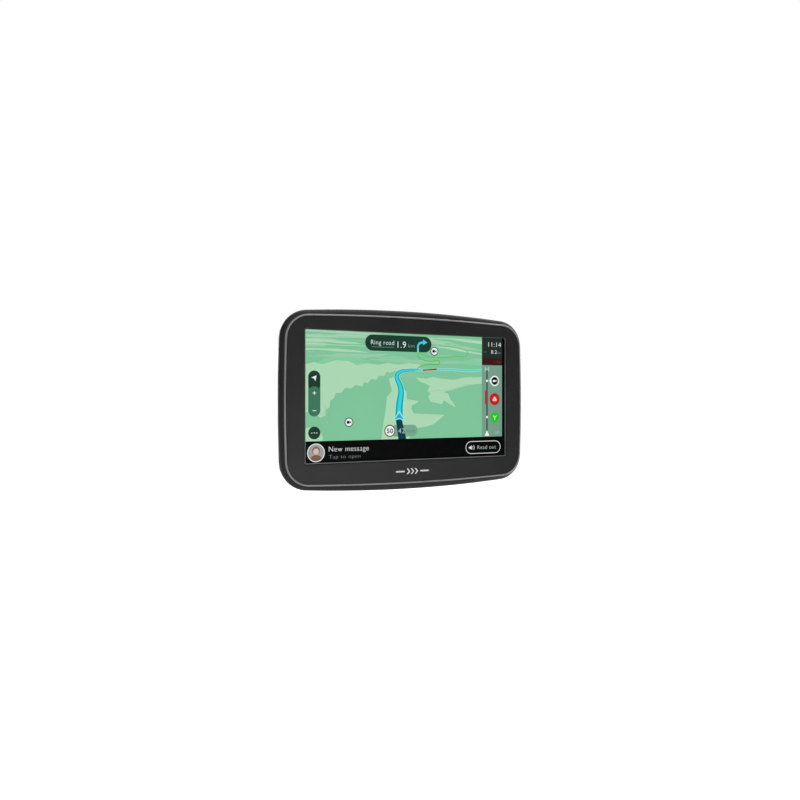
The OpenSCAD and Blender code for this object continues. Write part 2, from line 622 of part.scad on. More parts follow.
module speaker_gasket() color([0.08, 0.08, 0.08]) in_case()
    ring_y([speaker_r - 2.2, speaker_r], [speaker_back + 0.02, hub_back - wall - 0.02]);
module speaker_frame() color([0.35, 0.35, 0.36]) in_case() difference() {
    union() {
        rod_y(speaker_r, [speaker_back - 1, speaker_back]);
        translate([0, speaker_back - cone_d, 0]) rotate([-90, 0, 0])
            cylinder(r1 = magnet_r + 2.2, r2 = speaker_r - 1.6, h = cone_d - 1 + eps);
        block([-magnet_r - 5.4, -magnet_r - 1], [speaker_back - cone_d - 0.7, speaker_back - cone_d + 0.6], [-3, 3]);
    }
    translate([0, speaker_back - cone_d + 1, 0]) rotate([-90, 0, 0])
        cylinder(r1 = magnet_r + 1.2, r2 = speaker_r - 2.3, h = cone_d - 1 + 2 * eps);
    rod_y(magnet_r - 1.2, [speaker_back - cone_d - 2, speaker_back]);
}
module speaker_magnet() color([0.2, 0.2, 0.22]) in_case() {
    rod_y(magnet_r, [speaker_back - cone_d - magnet_d, speaker_back - cone_d - fit_gap / 2]);
    rod_y(magnet_r - 1.7, [speaker_back - cone_d - magnet_d, speaker_back - cone_d + 0.6]);
}
module speaker_cone() color([0.12, 0.12, 0.12]) in_case() rotate([-90, 0, 0]) rotate_extrude()
    polygon([[0, speaker_back - 1.6], [4.5, speaker_back - 2.4], [speaker_r - 3.6, speaker_back - 0.7],
        [speaker_r - 2.7, speaker_back - 0.3], [speaker_r - 2.7, speaker_back - 0.1],
        [speaker_r - 4, speaker_back - 0.3], [4.5, speaker_back - 1.9], [0, speaker_back - 1]]);
module speaker_lead() color([0.1, 0.1, 0.1]) in_case() two_wires(speaker_wire, 1.3);
module speaker_mesh() color([0.1, 0.1, 0.1]) in_case()
    rod_y(grille_r - 1.1, [hub_back - grille_t - 0.35, hub_back - grille_t - 0.05]);
module speaker_grille() color([0.18, 0.18, 0.19]) in_case() difference() {
    rod_y(grille_r, [hub_back - grille_t + 0.02, hub_back]);
    for (i = [-4 : 4]) translate([0, 0, i * slot_pitch])
        slot_y(2 * (sqrt((grille_r - 1.4) ^ 2 - (i * slot_pitch) ^ 2)), slot_w, [case_d, hub_back + 1]);
}

// ---- Tilting mount ----

module pivot_screws() color([0.6, 0.6, 0.62]) in_case() on_both_sides() translate([0, pivot_y, 0]) {
    rod_x(1.5, [hub_bore + 0.3, seat_x + eps]);
    rod_x(pivot_r, [seat_x, bail_out - 1.2 + eps]);
    difference() {
        rod_x(pivot_r + 1.2, [bail_out - 1.2 + fit_gap / 2, bail_out - 0.2]);
        rotate([90, 0, 90]) translate([0, 0, bail_out - 0.8]) cylinder(r = 1.3, h = 2, $fn = 6);
    }
}
module friction_washers() color([0.85, 0.85, 0.8]) on_both_sides() translate([0, -reach, 0]) difference() {
    rod_x(ear_r - 0.5, [seat_x + fit_gap / 2, seat_x + washer_t]);
    rod_x(pivot_r + run_gap, [0, bail_out]);
}

module mount_bail() color([0.12, 0.12, 0.13]) difference() {
    union() {
        intersection() {
            // The bail from above: two straight legs and a half round.
            translate([0, -reach, -bail_half]) linear_extrude(2 * bail_half) difference() {
                union() {
                    translate([0, leg]) circle(r = bail_out, $fn = 96);
                    translate([-bail_out, -ear_r]) square([2 * bail_out, leg + ear_r]);
                }
                translate([0, leg]) circle(r = bail_in, $fn = 96);
                translate([-bail_in, -ear_r - 1]) square([2 * bail_in, leg + ear_r + 1]);
            }
            // The bail from the side: round ears that widen towards the far end.
            translate([-bail_out - 1, -reach, 0]) rotate([90, 0, 90]) linear_extrude(2 * bail_out + 2) {
                circle(r = ear_r);
                polygon([[0, -ear_r], [0, ear_r], [leg + bail_in, bail_half], [leg + bail_out + 1, bail_half],
                    [leg + bail_out + 1, -bail_half], [leg + bail_in, -bail_half]]);
            }
        }
        rod_y(pad_r, [apex_y - bail_t + 0.6, housing_back]);
    }
    on_both_sides() translate([0, -reach, 0]) {
        rod_x(pivot_r + run_gap, [bail_in - 1, bail_out + 1]);
        rod_x(pivot_r + 1.2 + move_gap, [bail_out - 1.2, bail_out + 1]);
    }
    for (s = [-1, 1]) translate([s * bail_screw_x, 0, 0]) {
        rod_y(screw_r + 0.3, [-reach, 0]);
        rod_y(head_r + 0.3, [-reach, apex_y - bail_t + 2.4]);
    }
}

module bail_screws() color([0.7, 0.7, 0.72]) for (s = [-1, 1]) translate([s * bail_screw_x, 0, 0])
    mirror([0, 1, 0]) screw(-housing_back - 3.4, -(apex_y - bail_t + 2.4), screw_r, head_r, 1.3);

module cup_housing() color([0.12, 0.12, 0.13]) difference() {
    union() {
        difference() {
            union() {
                rod_y(housing_r, [housing_back, rim_y]);
                rod_y(cap_r, [housing_back, housing_back + housing_t]);
            }
            rod_y(housing_r - 2.2, [housing_back + housing_t, 0]);
        }
        rod_y(stem_r + 2.2, [housing_back, foot_y - 2.6]);
        for (s = [-1, 1]) translate([s * bail_screw_x, 0, 0]) rod_y(2.1, [housing_back, housing_back + 4]);
    }
    rod_y(stem_r + run_gap, [housing_back + housing_t, 0]);
    for (s = [-1, 1]) translate([s * bail_screw_x, 0, 0]) rod_y(screw_r + run_gap, [housing_back - 1, housing_back + 3.6]);
    // Slots that keep the cross pin from turning.
    block([-housing_r - 1, housing_r + 1], [pin_y - pin_r - move_gap, 0], [-pin_r - move_gap, pin_r + move_gap]);
}

// A ramp inside the ring: it starts level, falls back by the stem's lift over 90 degrees, and ends level.
module ramp() {
    turns = concat([8], [for (i = [0 : ramp_steps]) -90 * i / ramp_steps], [-98]);
    rings = [for (a = turns)
        let (face = pin_y + pin_r + move_gap + stem_lift * min(max(-a, 0), 90) / 90)
        [for (q = [[ring_in + 0.2, face], [groove_r + 0.4, face],
            [groove_r + 0.4, groove_y[1] + 0.3], [ring_in + 0.2, groove_y[1] + 0.3]])
            [q[0] * cos(a), q[1], -q[0] * sin(a)]]];
    last = len(turns) - 1;
    polyhedron(
        points = [for (r = rings) each r],
        faces = concat(
            [[0, 1, 2, 3]],
            [for (k = [0 : last - 1], i = [0 : 3]) let (j = (i + 1) % 4)
                each [[k * 4 + j, k * 4 + i, k * 4 + 4 + j], [k * 4 + 4 + j, k * 4 + i, k * 4 + 4 + i]]],
            [[for (i = [3 : -1 : 0]) last * 4 + i]]));
}

// The ring's two ramps lift the cross pin as the ring turns.
module lock_ring() color([0.16, 0.16, 0.17]) {
    difference() {
        union() {
            rod_y(ring_out - 1.2, ring_y);
            for (i = [0 : grip_count - 1]) rotate([0, 360 * i / grip_count, 0])
                translate([ring_out - 1.5, 0, 0]) rod_y(1.5, [ring_y[0] + 0.8, ring_y[1] - 0.8]);
        }
        rod_y(ring_in, [ring_y[0] - 1, ring_y[1] + 1]);
        rod_y(groove_r, groove_y);
    }
    for (side = [0, 180]) rotate([0, side, 0]) ramp();
}

module cup_stem() color([0.85, 0.85, 0.83]) difference() {
    union() {
        rod_y(stem_r, [pin_y - pin_r - 1, foot_y + eps]);
        rod_y(foot_r, [foot_y, foot_y + foot_t]);
    }
    translate([0, pin_y, 0]) rod_x(pin_r, [-stem_r - 1, stem_r + 1]);
}
module cross_pin() color([0.8, 0.8, 0.82]) translate([0, pin_y, 0]) rod_x(pin_r, [-pin_half, pin_half]);

module suction_cup() color([0.07, 0.07, 0.075]) difference() {
    union() {
        rotate([-90, 0, 0]) rotate_extrude($fn = 96) polygon([
            [0, foot_y - 1.4], [foot_r + 2, foot_y - 1.4], [foot_r + 3, foot_y + 0.6],
            [housing_r - 4, rim_y + 0.4], [housing_r - 3, rim_y + fit_gap / 2], [housing_r + 1.4, rim_y + fit_gap / 2],
            [cup_r - 1, -1.7], [cup_r, -0.9], [cup_r, 0], [cup_r - rim_w, 0],
            [cup_r - rim_w - 4, -1.2], [foot_r + 1, -dome], [0, -dome]]);
        // Tab for peeling the cup off the glass.
        translate([0, 0, -cup_r + 2]) block([-6, 6], [-1.8, -0.3], [-6, 0]);
        translate([0, 0, -cup_r - 4]) rod_y(6, [-1.8, -0.3]);
    }
    rod_y(stem_r + run_gap, [-reach, foot_y + 0.5]);
    rod_y(foot_r + run_gap, [foot_y - run_gap, foot_y + foot_t + run_gap]);
}

front_bezel();
trim_ring();
rear_cover();
case_screws();
window_gasket();
touch_panel();
touch_ribbon();
lcd_panel();
light_guide();
led_bar();
lcd_tray();
lcd_ribbon();
chassis();
main_board();
board_screws();
board_chips();
shield_cans();
thermal_pad();
aerial();
board_connectors();
usb_socket();
card_socket();
microphone();
power_switch();
power_plunger();
power_button();
reset_switch();
reset_plunger();
battery();
battery_tape();
battery_lead();
speaker_frame();
speaker_magnet();
speaker_cone();
speaker_gasket();
speaker_lead();
speaker_mesh();
speaker_grille();
pivot_screws();
friction_washers();
mount_bail();
bail_screws();
cup_housing();
lock_ring();
cup_stem();
cross_pin();
suction_cup();
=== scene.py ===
"""Looks of a portable satellite navigator on its tilting windscreen mount."""

import math

import bmesh
import bpy
from mathutils import Matrix, Vector


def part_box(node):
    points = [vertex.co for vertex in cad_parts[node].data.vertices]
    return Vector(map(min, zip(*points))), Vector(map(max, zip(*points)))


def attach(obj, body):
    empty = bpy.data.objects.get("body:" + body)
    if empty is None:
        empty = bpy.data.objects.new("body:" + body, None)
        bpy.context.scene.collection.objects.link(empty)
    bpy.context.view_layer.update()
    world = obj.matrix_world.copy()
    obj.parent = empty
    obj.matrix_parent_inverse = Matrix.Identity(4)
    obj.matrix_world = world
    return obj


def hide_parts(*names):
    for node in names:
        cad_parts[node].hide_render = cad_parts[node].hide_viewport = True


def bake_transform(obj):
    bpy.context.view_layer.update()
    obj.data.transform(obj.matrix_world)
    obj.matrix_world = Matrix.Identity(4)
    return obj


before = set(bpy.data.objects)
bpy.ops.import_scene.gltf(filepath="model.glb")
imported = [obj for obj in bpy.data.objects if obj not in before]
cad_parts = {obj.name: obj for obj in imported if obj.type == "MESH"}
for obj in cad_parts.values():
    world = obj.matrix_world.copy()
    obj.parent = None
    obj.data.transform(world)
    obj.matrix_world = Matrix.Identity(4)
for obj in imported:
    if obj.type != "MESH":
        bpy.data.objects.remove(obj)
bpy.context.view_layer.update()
scene = bpy.context.scene
MM = 0.001


def low(node):
    return Vector(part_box(node)[0]) / MM


def high(node):
    return Vector(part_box(node)[1]) / MM


# ---- Sizes, in millimetres ----

# The case, seen from the front: bows say how far its sides curve out.
FACE_Y = low("front_bezel").y
HALF_W = high("front_bezel").x
HALF_H = high("front_bezel").z
CORNER_R = 16.0
SIDE_BOW = 1.25
TOP_BOW = 3.7
WINDOW_W = 135.5
WINDOW_H = 75.2
WINDOW_Z = (high("touch_panel").z + low("touch_panel").z) / 2

# The flat face lies inside the widest line by FACE_IN above and below and FACE_SIDE at its ends.
FACE_IN = 4.8
FACE_SIDE = 2.9
FACE_CORNER = 13.2
FACE_BOW = 2.0
TRIM_W = 1.25
FLARE = FACE_IN - TRIM_W

# Depths behind the face of the widest line and of the seam between the two shells.
WIDEST = 3.4
SEAM = 6.5

LCD_Y = low("lcd_panel").y
GAP_TO_TOUCH = LCD_Y - high("touch_panel").y

# Shading: edges sharper than CRISP get a rounding, and a CAD copy is smooth up to SOFT.
CRISP = math.radians(50)
SOFT = 32.0
WELD = 0.0005

# ---- Colours ----


def tone(red, green, blue):
    """A colour given as it is seen, from 0 to 255, turned into light."""
    light = [c / 255 for c in (red, green, blue)]
    return tuple(c / 12.92 if c <= 0.04045 else ((c + 0.055) / 1.055) ** 2.4 for c in light) + (1.0,)


# ---- Material building ----


def new_material(name):
    mat = bpy.data.materials.new(name)
    mat.use_nodes = True
    tree = mat.node_tree
    shader = tree.nodes["Principled BSDF"]
    return mat, tree, shader


def add(tree, kind, **settings):
    node = tree.nodes.new("ShaderNode" + kind)
    for key, value in settings.items():
        setattr(node, key, value)
    return node


def dial(node, **values):
    """Sets a node's sockets, named with _ for each space."""
    for key, value in values.items():
        node.inputs[key.replace("_", " ")].default_value = value


def surface_noise(tree, size, detail=3.0, stretch=(1, 1, 1)):
    """Noise whose grains measure about size millimetres on the object."""
    where = add(tree, "TexCoord")
    mapping = add(tree, "Mapping")
    dial(mapping, Scale=stretch)
    noise = add(tree, "TexNoise")
    dial(noise, Scale=1 / (size * MM), Detail=detail)
    tree.links.new(where.outputs["Object"], mapping.inputs["Vector"])
    tree.links.new(mapping.outputs["Vector"], noise.inputs["Vector"])
    return noise.outputs["Fac"]


def spread(tree, source, low_value, high_value):
    """Stretches a noise, which mostly lies between 0.3 and 0.7, over a range of values."""
    node = add(tree, "MapRange")
    dial(node, From_Min=0.3, From_Max=0.7, To_Min=low_value, To_Max=high_value)
    tree.links.new(source, node.inputs["Value"])
    return node.outputs["Result"]


def mottle(tree, source, dark, light):
    """A colour that runs from dark to light with the source."""
    node = add(tree, "Mix", data_type="RGBA")
    dial(node, A=dark, B=light)
    tree.links.new(source, node.inputs["Factor"])
    return node.outputs["Result"]


def shade(colour, factor):
    return tuple(min(1.0, c * factor) for c in colour[:3]) + (1.0,)


def relief(tree, shader, source, depth):
    """Bump of the given depth in millimetres."""
    node = add(tree, "Bump")
    dial(node, Strength=1.0, Distance=depth * MM)
    tree.links.new(source, node.inputs["Height"])
    tree.links.new(node.outputs["Normal"], shader.inputs["Normal"])


def plastic(name, colour, roughness, grain, depth, gloss=0.5):
    """Moulded plastic with a spark-eroded grain and slightly uneven handling marks."""
    mat, tree, shader = new_material(name)
    fine = surface_noise(tree, grain, 4.0)
    broad = surface_noise(tree, 18.0, 2.0)
    tree.links.new(mottle(tree, spread(tree, broad, 0.0, 1.0), shade(colour, 0.88), shade(colour, 1.12)),
                   shader.inputs["Base Color"])
    tree.links.new(spread(tree, broad, roughness - 0.04, roughness + 0.05), shader.inputs["Roughness"])
    dial(shader, Specular_IOR_Level=gloss)
    relief(tree, shader, fine, depth)
    return mat


def metal(name, colour, roughness, stretch=(1, 1, 1), grain=0.6, depth=0.004):
    """Bare metal, brushed along one direction where stretch says so."""
    mat, tree, shader = new_material(name)
    lines = surface_noise(tree, grain, 5.0, stretch)
    tree.links.new(mottle(tree, spread(tree, lines, 0.0, 1.0), shade(colour, 0.85), shade(colour, 1.1)),
                   shader.inputs["Base Color"])
    tree.links.new(spread(tree, lines, roughness - 0.06, roughness + 0.08), shader.inputs["Roughness"])
    dial(shader, Metallic=1.0)
    relief(tree, shader, lines, depth)
    return mat


def rubber(name, colour, roughness):
    """Moulded rubber or foam, dusty in patches."""
    mat, tree, shader = new_material(name)
    fine = surface_noise(tree, 0.6, 5.0)
    broad = surface_noise(tree, 9.0, 3.0)
    tree.links.new(mottle(tree, spread(tree, broad, 0.0, 1.0), shade(colour, 0.8), shade(colour, 1.35)),
                   shader.inputs["Base Color"])
    tree.links.new(spread(tree, broad, roughness - 0.1, roughness + 0.1), shader.inputs["Roughness"])
    dial(shader, Specular_IOR_Level=0.4)
    relief(tree, shader, fine, 0.012)
    return mat


def circuit_board(name):
    """Solder mask over a grid of copper tracks."""
    mat, tree, shader = new_material(name)
    where = add(tree, "TexCoord")
    turn = add(tree, "Mapping")
    dial(turn, Rotation=(math.radians(90), 0, 0))
    tracks = add(tree, "TexBrick", offset=0.5)
    dial(tracks, Scale=1 / (6 * MM), Mortar_Size=0.05, Mortar=(1, 1, 1, 1))
    dial(tracks, Color1=(0, 0, 0, 1), Color2=(0, 0, 0, 1))
    tree.links.new(where.outputs["Object"], turn.inputs["Vector"])
    tree.links.new(turn.outputs["Vector"], tracks.inputs["Vector"])
    tree.links.new(mottle(tree, tracks.outputs["Color"], (0.006, 0.075, 0.035, 1), (0.02, 0.16, 0.07, 1)),
                   shader.inputs["Base Color"])
    tree.links.new(spread(tree, surface_noise(tree, 3.0), 0.25, 0.4), shader.inputs["Roughness"])
    relief(tree, shader, tracks.outputs["Color"], 0.03)
    return mat


def stripes(tree, direction, line):
    """Even lines of the given width in millimetres, as far apart as they are wide."""
    where = add(tree, "TexCoord")
    wave = add(tree, "TexWave", wave_type="BANDS", bands_direction=direction)
    dial(wave, Scale=math.pi / (20 * line * MM))
    tree.links.new(where.outputs["Object"], wave.inputs["Vector"])
    return wave.outputs["Fac"]


def film(name, colour):
    """Flat cable: copper lines under amber film."""
    mat, tree, shader = new_material(name)
    lines = stripes(tree, "X", math.pi / 10)
    tree.links.new(mottle(tree, lines, shade(colour, 0.55), colour), shader.inputs["Base Color"])
    tree.links.new(spread(tree, surface_noise(tree, 4.0), 0.22, 0.36), shader.inputs["Roughness"])
    relief(tree, shader, lines, 0.02)
    return mat


def woven(name, colour, thread):
    """Cloth or mesh of threads of the given width in millimetres, seen along Y."""
    mat, tree, shader = new_material(name)
    weave = add(tree, "Math", operation="MAXIMUM")
    tree.links.new(stripes(tree, "X", thread), weave.inputs[0])
    tree.links.new(stripes(tree, "Z", thread), weave.inputs[1])
    tree.links.new(mottle(tree, weave.outputs[0], shade(colour, 0.3), colour), shader.inputs["Base Color"])
    tree.links.new(spread(tree, surface_noise(tree, 2.0), 0.75, 0.9), shader.inputs["Roughness"])
    relief(tree, shader, weave.outputs[0], 0.15)
    return mat


def lit(name, colour):
    """A part of the screen's picture: dark by itself, lit from behind."""
    mat, _, shader = new_material(name)
    dial(shader, Base_Color=shade(colour, 0.22), Roughness=0.5, Specular_IOR_Level=0.05)
    dial(shader, Emission_Color=colour, Emission_Strength=0.98)
    return mat


# ---- Mesh building ----


def piece(name, bm, material, body, smooth):
    """Turns a mesh in millimetres into a named piece that rides on a body, smooth up to some degrees."""
    bmesh.ops.transform(bm, matrix=Matrix.Scale(MM, 4), verts=bm.verts)
    for face in bm.faces:
        face.smooth = smooth > 0
    limit = math.radians(smooth)
    for edge in bm.edges:
        edge.smooth = len(edge.link_faces) == 2 and edge.calc_face_angle(0) < limit
    mesh = bpy.data.meshes.new(name)
    bm.to_mesh(mesh)
    bm.free()
    obj = bpy.data.objects.new(name, mesh)
    mesh.materials.append(material)
    scene.collection.objects.link(obj)
    if body:
        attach(obj, body)
    return obj


def from_cad(node, name, material, body, rounding=0.0):
    """A smooth-shaded copy of a CAD node, with its crisp edges rounded off."""
    bm = bmesh.new()
    bm.from_mesh(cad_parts[node].data)
    bmesh.ops.transform(bm, matrix=Matrix.Scale(1 / MM, 4), verts=bm.verts)
    bmesh.ops.remove_doubles(bm, verts=bm.verts, dist=WELD)
    bmesh.ops.dissolve_limit(bm, angle_limit=math.radians(0.6), use_dissolve_boundaries=False,
                             verts=bm.verts, edges=bm.edges, delimit={"NORMAL"})
    if rounding:
        crisp = [e for e in bm.edges if len(e.link_faces) == 2 and e.calc_face_angle(0) > CRISP]
        bmesh.ops.bevel(bm, geom=crisp, offset=rounding, offset_type="OFFSET", segments=2, profile=0.5,
                        affect="EDGES", clamp_overlap=True, material=-1)
    obj = piece(name, bm, material, body, SOFT)
    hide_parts(node)
    return obj


def finish_node(node, material):
    """Gives a CAD node that keeps its shape its own finish."""
    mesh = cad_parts[node].data
    mesh.materials.clear()
    mesh.materials.append(material)


# ---- Case outline: four bowed sides and four round corners ----


def bow_radius(half_length, bow):
    """Radius of a side that bows out by some millimetres over its length."""
    return (half_length**2 + bow**2) / (2 * bow)


def arc(centre, radius, start, end, count):
    """Points on an arc, by angle from +Z towards +X, without the last one."""
    angles = [math.radians(start + (end - start) * i / count) for i in range(count)]
    return [centre + radius * Vector((math.sin(a), math.cos(a))) for a in angles]


def all_round(corner, top, side, at_top, at_side):
    """A whole outline from the radii of its corner and bowed sides, clockwise from the top."""
    between = at_side - at_top
    length = between.length
    to_top, to_side = top - corner, side - corner
    along = (length**2 + to_top**2 - to_side**2) / (2 * length)
    across = math.sqrt(to_top**2 - along**2)
    centre = at_top + (between * along + Vector((between.y, -between.x)) * across) / length
    top_end = math.degrees(math.atan2(centre.x - at_top.x, centre.y - at_top.y))
    side_end = 90 - math.degrees(math.atan2(centre.y - at_side.y, centre.x - at_side.x))
    quarter = arc(at_top, top, 0, top_end, 10)
    quarter += arc(centre, corner, top_end, side_end, 16)
    quarter += arc(at_side, side, side_end, 90, 6)
    full = quarter + [Vector((at_side.x + side, 0))]
    full += [Vector((p.x, -p.y)) for p in reversed(quarter)]
    full += [Vector((-p.x, -p.y)) for p in quarter[1:]]
    full += [Vector((-at_side.x - side, 0))]
    full += [Vector((-p.x, p.y)) for p in reversed(quarter[1:])]
    return full


def case_outline(inset):
    """The case's outline at an inset from its widest line; its corners tighten at first, then open out."""
    tight = CORNER_R * 0.375
    opening = 0.3
    corner = max(CORNER_R - inset, CORNER_R - tight + opening * (inset - tight))
    top, side = bow_radius(HALF_W, TOP_BOW), bow_radius(HALF_H, SIDE_BOW)
    return all_round(corner, top - inset, side - inset, Vector((0, HALF_H - top)), Vector((HALF_W - side, 0)))


def face_outline(grow):
    """The flat face's own outline, flatter and nearer to the widest line at its sides."""
    half_w, half_h = HALF_W - FACE_SIDE, HALF_H - FACE_IN
    top, side = bow_radius(half_w, FACE_BOW), bow_radius(half_h, SIDE_BOW)
    return all_round(FACE_CORNER + grow, top + grow, side + grow, Vector((0, half_h - top)),
                     Vector((half_w - side, 0)))


def front_outline(inset):
    """The face's outline out to the trim, then a blend to the widest line."""
    if inset >= FLARE:
        return face_outline(FACE_IN - inset)
    share = inset / FLARE
    return [near * share + far * (1 - share) for near, far in zip(face_outline(TRIM_W), case_outline(0))]


def outline_loop(bm, depth, inset):
    """A closed loop of edges along the outline, at a depth behind the face."""
    points = front_outline(inset) if depth < WIDEST else case_outline(inset)
    verts = [bm.verts.new((p.x, FACE_Y + depth, p.y)) for p in points]
    return [bm.edges.new((verts[i - 1], verts[i])) for i in range(len(verts))]


def window_loop(bm, depth, grow, radius):
    """A closed loop of edges along the window's edge, grown by some millimetres."""
    made = bmesh.ops.create_grid(bm, x_segments=1, y_segments=1, size=0.5)["verts"]
    stretch = Matrix.Diagonal((WINDOW_W + 2 * grow, WINDOW_H + 2 * grow, 1, 1))
    bmesh.ops.transform(bm, matrix=Matrix.Rotation(math.radians(90), 4, "X") @ stretch, verts=made)
    bmesh.ops.translate(bm, vec=(0, FACE_Y + depth, WINDOW_Z), verts=made)
    bmesh.ops.bevel(bm, geom=made, offset=radius, segments=5, profile=0.5, affect="VERTICES", material=-1)
    face = max(bm.faces, key=lambda f: len(f.verts))
    edges = list(face.edges)
    bmesh.ops.delete(bm, geom=[face], context="FACES_ONLY")
    return edges


def skin(bm, loops):
    """A closed ring of faces through the loops, from the last one back to the first."""
    for first, second in zip(loops, loops[1:] + loops[:1]):
        bmesh.ops.bridge_loops(bm, edges=first + second)
    bmesh.ops.recalc_face_normals(bm, faces=bm.faces)


def front_moulding(material):
    """The dark front: a flat face with a chamfered window, and a flank that flares to the widest line."""
    bm = bmesh.new()
    flank = [(SEAM, 0.62), (SEAM - 0.25, 0.45), (5.6, 0.18), (4.9, 0.05), (4.1, 0.0), (WIDEST, 0.0),
             (2.95, 0.2), (2.5, 0.55), (2.1, 1.05), (1.75, 1.65), (1.45, 2.25), (1.2, 2.8), (1.0, 3.3)]
    rebate = [(0.9, FLARE), (0.9, FACE_IN), (0.12, FACE_IN)]
    face = [(0.03, FACE_IN + 0.04), (0.0, FACE_IN + 0.14), (0.0, FACE_IN + 0.3)]
    window = [(0.0, 0.7, 1.45), (0.0, 0.56, 1.3), (0.04, 0.46, 1.25), (0.16, 0.4, 1.2), (0.6, 0.36, 1.1),
              (1.3, 0.36, 1.1)]
    back = [(1.3, 5.6), (WIDEST, 2.1), (SEAM, 2.2)]
    loops = [outline_loop(bm, depth, inset) for depth, inset in flank + rebate + face]
    loops += [window_loop(bm, depth, grow, radius) for depth, grow, radius in window]
    loops += [outline_loop(bm, depth, inset) for depth, inset in back]
    skin(bm, loops)
    obj = piece("front_moulding", bm, material, "navigator", 24)
    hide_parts("front_bezel")


def painted_highlight_edge(material):
    """A light grey line round the touch panel's edge, wider at the bottom and the left: a painted highlight
    where light catches the window's rim.
    """
    bm = bmesh.new()
    outer = [(1.2, 0.04), (0.42, 0.04), (0.38, 0.0)]
    inner = [(0.7, -0.28), (0.76, -0.3), (1.2, -0.3)]
    loops = [window_loop(bm, depth, grow, 0.8) for depth, grow in outer + inner]
    for loop in loops[len(outer):]:
        verts = list({vert for edge in loop for vert in edge.verts})
        bmesh.ops.translate(bm, vec=(0.2, 0, 0.14), verts=verts)
    skin(bm, loops)
    obj = piece("painted_highlight_edge", bm, material, "navigator", 30)


def trim_bead(material):
    """The satin bead set in a rebate round the face."""
    bm = bmesh.new()
    profile = [(0.86, FLARE + 0.06), (0.45, FLARE + 0.04), (0.2, FLARE + 0.12), (0.0, FLARE + 0.28),
               (-0.14, FLARE + 0.42), (-0.2, FLARE + 0.58), (-0.17, FLARE + 0.76), (-0.06, FLARE + 0.91),
               (0.1, FLARE + 0.99), (0.86, FLARE + 1.0)]
    skin(bm, [outline_loop(bm, depth, inset) for depth, inset in profile])
    obj = piece("trim_bead", bm, material, "navigator", 40)
    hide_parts("trim_ring")


# ---- The screen's picture ----

# It is drawn in millimetres right of and below its top left corner, in layers that rise towards
# the touch panel, and is then stretched a little sideways to fill the window.
DISPLAY_W = 132.8
DISPLAY_H = 74.7
DISPLAY_LEFT = -67.3
DISPLAY_TOP = 39.5
DISPLAY_STRETCH = 1.0086
LAYERS = 12
LAYER = GAP_TO_TOUCH / LAYERS
BAR_LEFT = 117.6
STRIP_TOP = 62.6
picture = {}


def on_display(u, v, layer):
    """The place in the part's frame of a point of the picture."""
    return Vector((DISPLAY_LEFT + DISPLAY_STRETCH * u, LCD_Y - (layer + 0.5) * LAYER, DISPLAY_TOP - v))


def collect(paint, bm, u, v, layer):
    """Adds a shape, drawn in X and Y with Y down, to the picture's sheet of that paint, facing the driver."""
    to_place = Matrix.Translation(on_display(u, v, layer)) @ Matrix(
        ((DISPLAY_STRETCH, 0, 0, 0), (0, 0, 1, 0), (0, -1, 0, 0), (0, 0, 0, 1)))
    bmesh.ops.transform(bm, matrix=to_place, verts=bm.verts)
    bm.normal_update()
    flat = all(abs(face.normal.y) > 0.99 for face in bm.faces)
    if flat:
        bmesh.ops.reverse_faces(bm, faces=[face for face in bm.faces if face.normal.y > 0])
    mesh = bpy.data.meshes.new("part")
    bm.to_mesh(mesh)
    bm.free()
    sheet = picture.setdefault(paint, bmesh.new())
    sheet.from_mesh(mesh)
    bpy.data.meshes.remove(mesh)


def disc(paint, u, v, radius, layer):
    bm = bmesh.new()
    bmesh.ops.create_circle(bm, cap_ends=True, segments=56, radius=radius)
    collect(paint, bm, u, v, layer)


def pill(paint, left, top, right, bottom, layer, radius=None):
    """A rectangle with round corners, by its edges."""
    bm = bmesh.new()
    bmesh.ops.create_grid(bm, x_segments=1, y_segments=1, size=0.5)
    bmesh.ops.scale(bm, vec=(right - left, bottom - top, 1), verts=bm.verts)
    if radius is None:
        radius = min(right - left, bottom - top) / 2
    if radius > 0:
        just_short = 0.999
        bmesh.ops.bevel(bm, geom=bm.verts[:], offset=radius * just_short, segments=14, profile=0.5,
                        affect="VERTICES", material=-1)
    collect(paint, bm, (left + right) / 2, (top + bottom) / 2, layer)


def mesh_of(curve):
    """The mesh of a curve or of lettering, which is then deleted."""
    obj = bpy.data.objects.new("drawn", curve)
    scene.collection.objects.link(obj)
    bpy.context.view_layer.update()
    mesh = obj.evaluated_get(bpy.context.evaluated_depsgraph_get()).to_mesh()
    bm = bmesh.new()
    bm.from_mesh(mesh)
    obj.to_mesh_clear()
    bpy.data.objects.remove(obj)
    bpy.data.curves.remove(curve)
    return bm


def line_through(points, smooth, closed):
    """A curve through given points (u, v) or (u, v, share of the full width)."""
    curve = bpy.data.curves.new("shape", "CURVE")
    curve.resolution_u = 10 if smooth else 1
    spline = curve.splines.new("BEZIER")
    spline.bezier_points.add(len(points) - 1)
    for point, values in zip(spline.bezier_points, points):
        point.co = (values[0], values[1], 0)
        point.handle_left_type = point.handle_right_type = "AUTO" if smooth else "VECTOR"
        point.radius = values[2] if len(values) > 2 else 1.0
    spline.use_cyclic_u = closed
    return curve


def patch(paint, points, layer, smooth=False):
    """A filled shape with straight sides, or with smooth ones."""
    curve = line_through(points, smooth, closed=True)
    curve.dimensions = "2D"
    curve.fill_mode = "BOTH"
    collect(paint, mesh_of(curve), 0, 0, layer)


def ribbon(paint, points, width, layer):
    """A smooth line of some width, flattened to stay within its layer."""
    curve = line_through(points, smooth=True, closed=False)
    curve.dimensions = "3D"
    curve.bevel_depth = width / 2
    curve.bevel_resolution = 1
    curve.use_fill_caps = True
    bm = mesh_of(curve)
    share_of_layer = 0.4
    bmesh.ops.scale(bm, vec=(1, 1, LAYER / width * share_of_layer), verts=bm.verts)
    collect(paint, bm, 0, 0, layer)


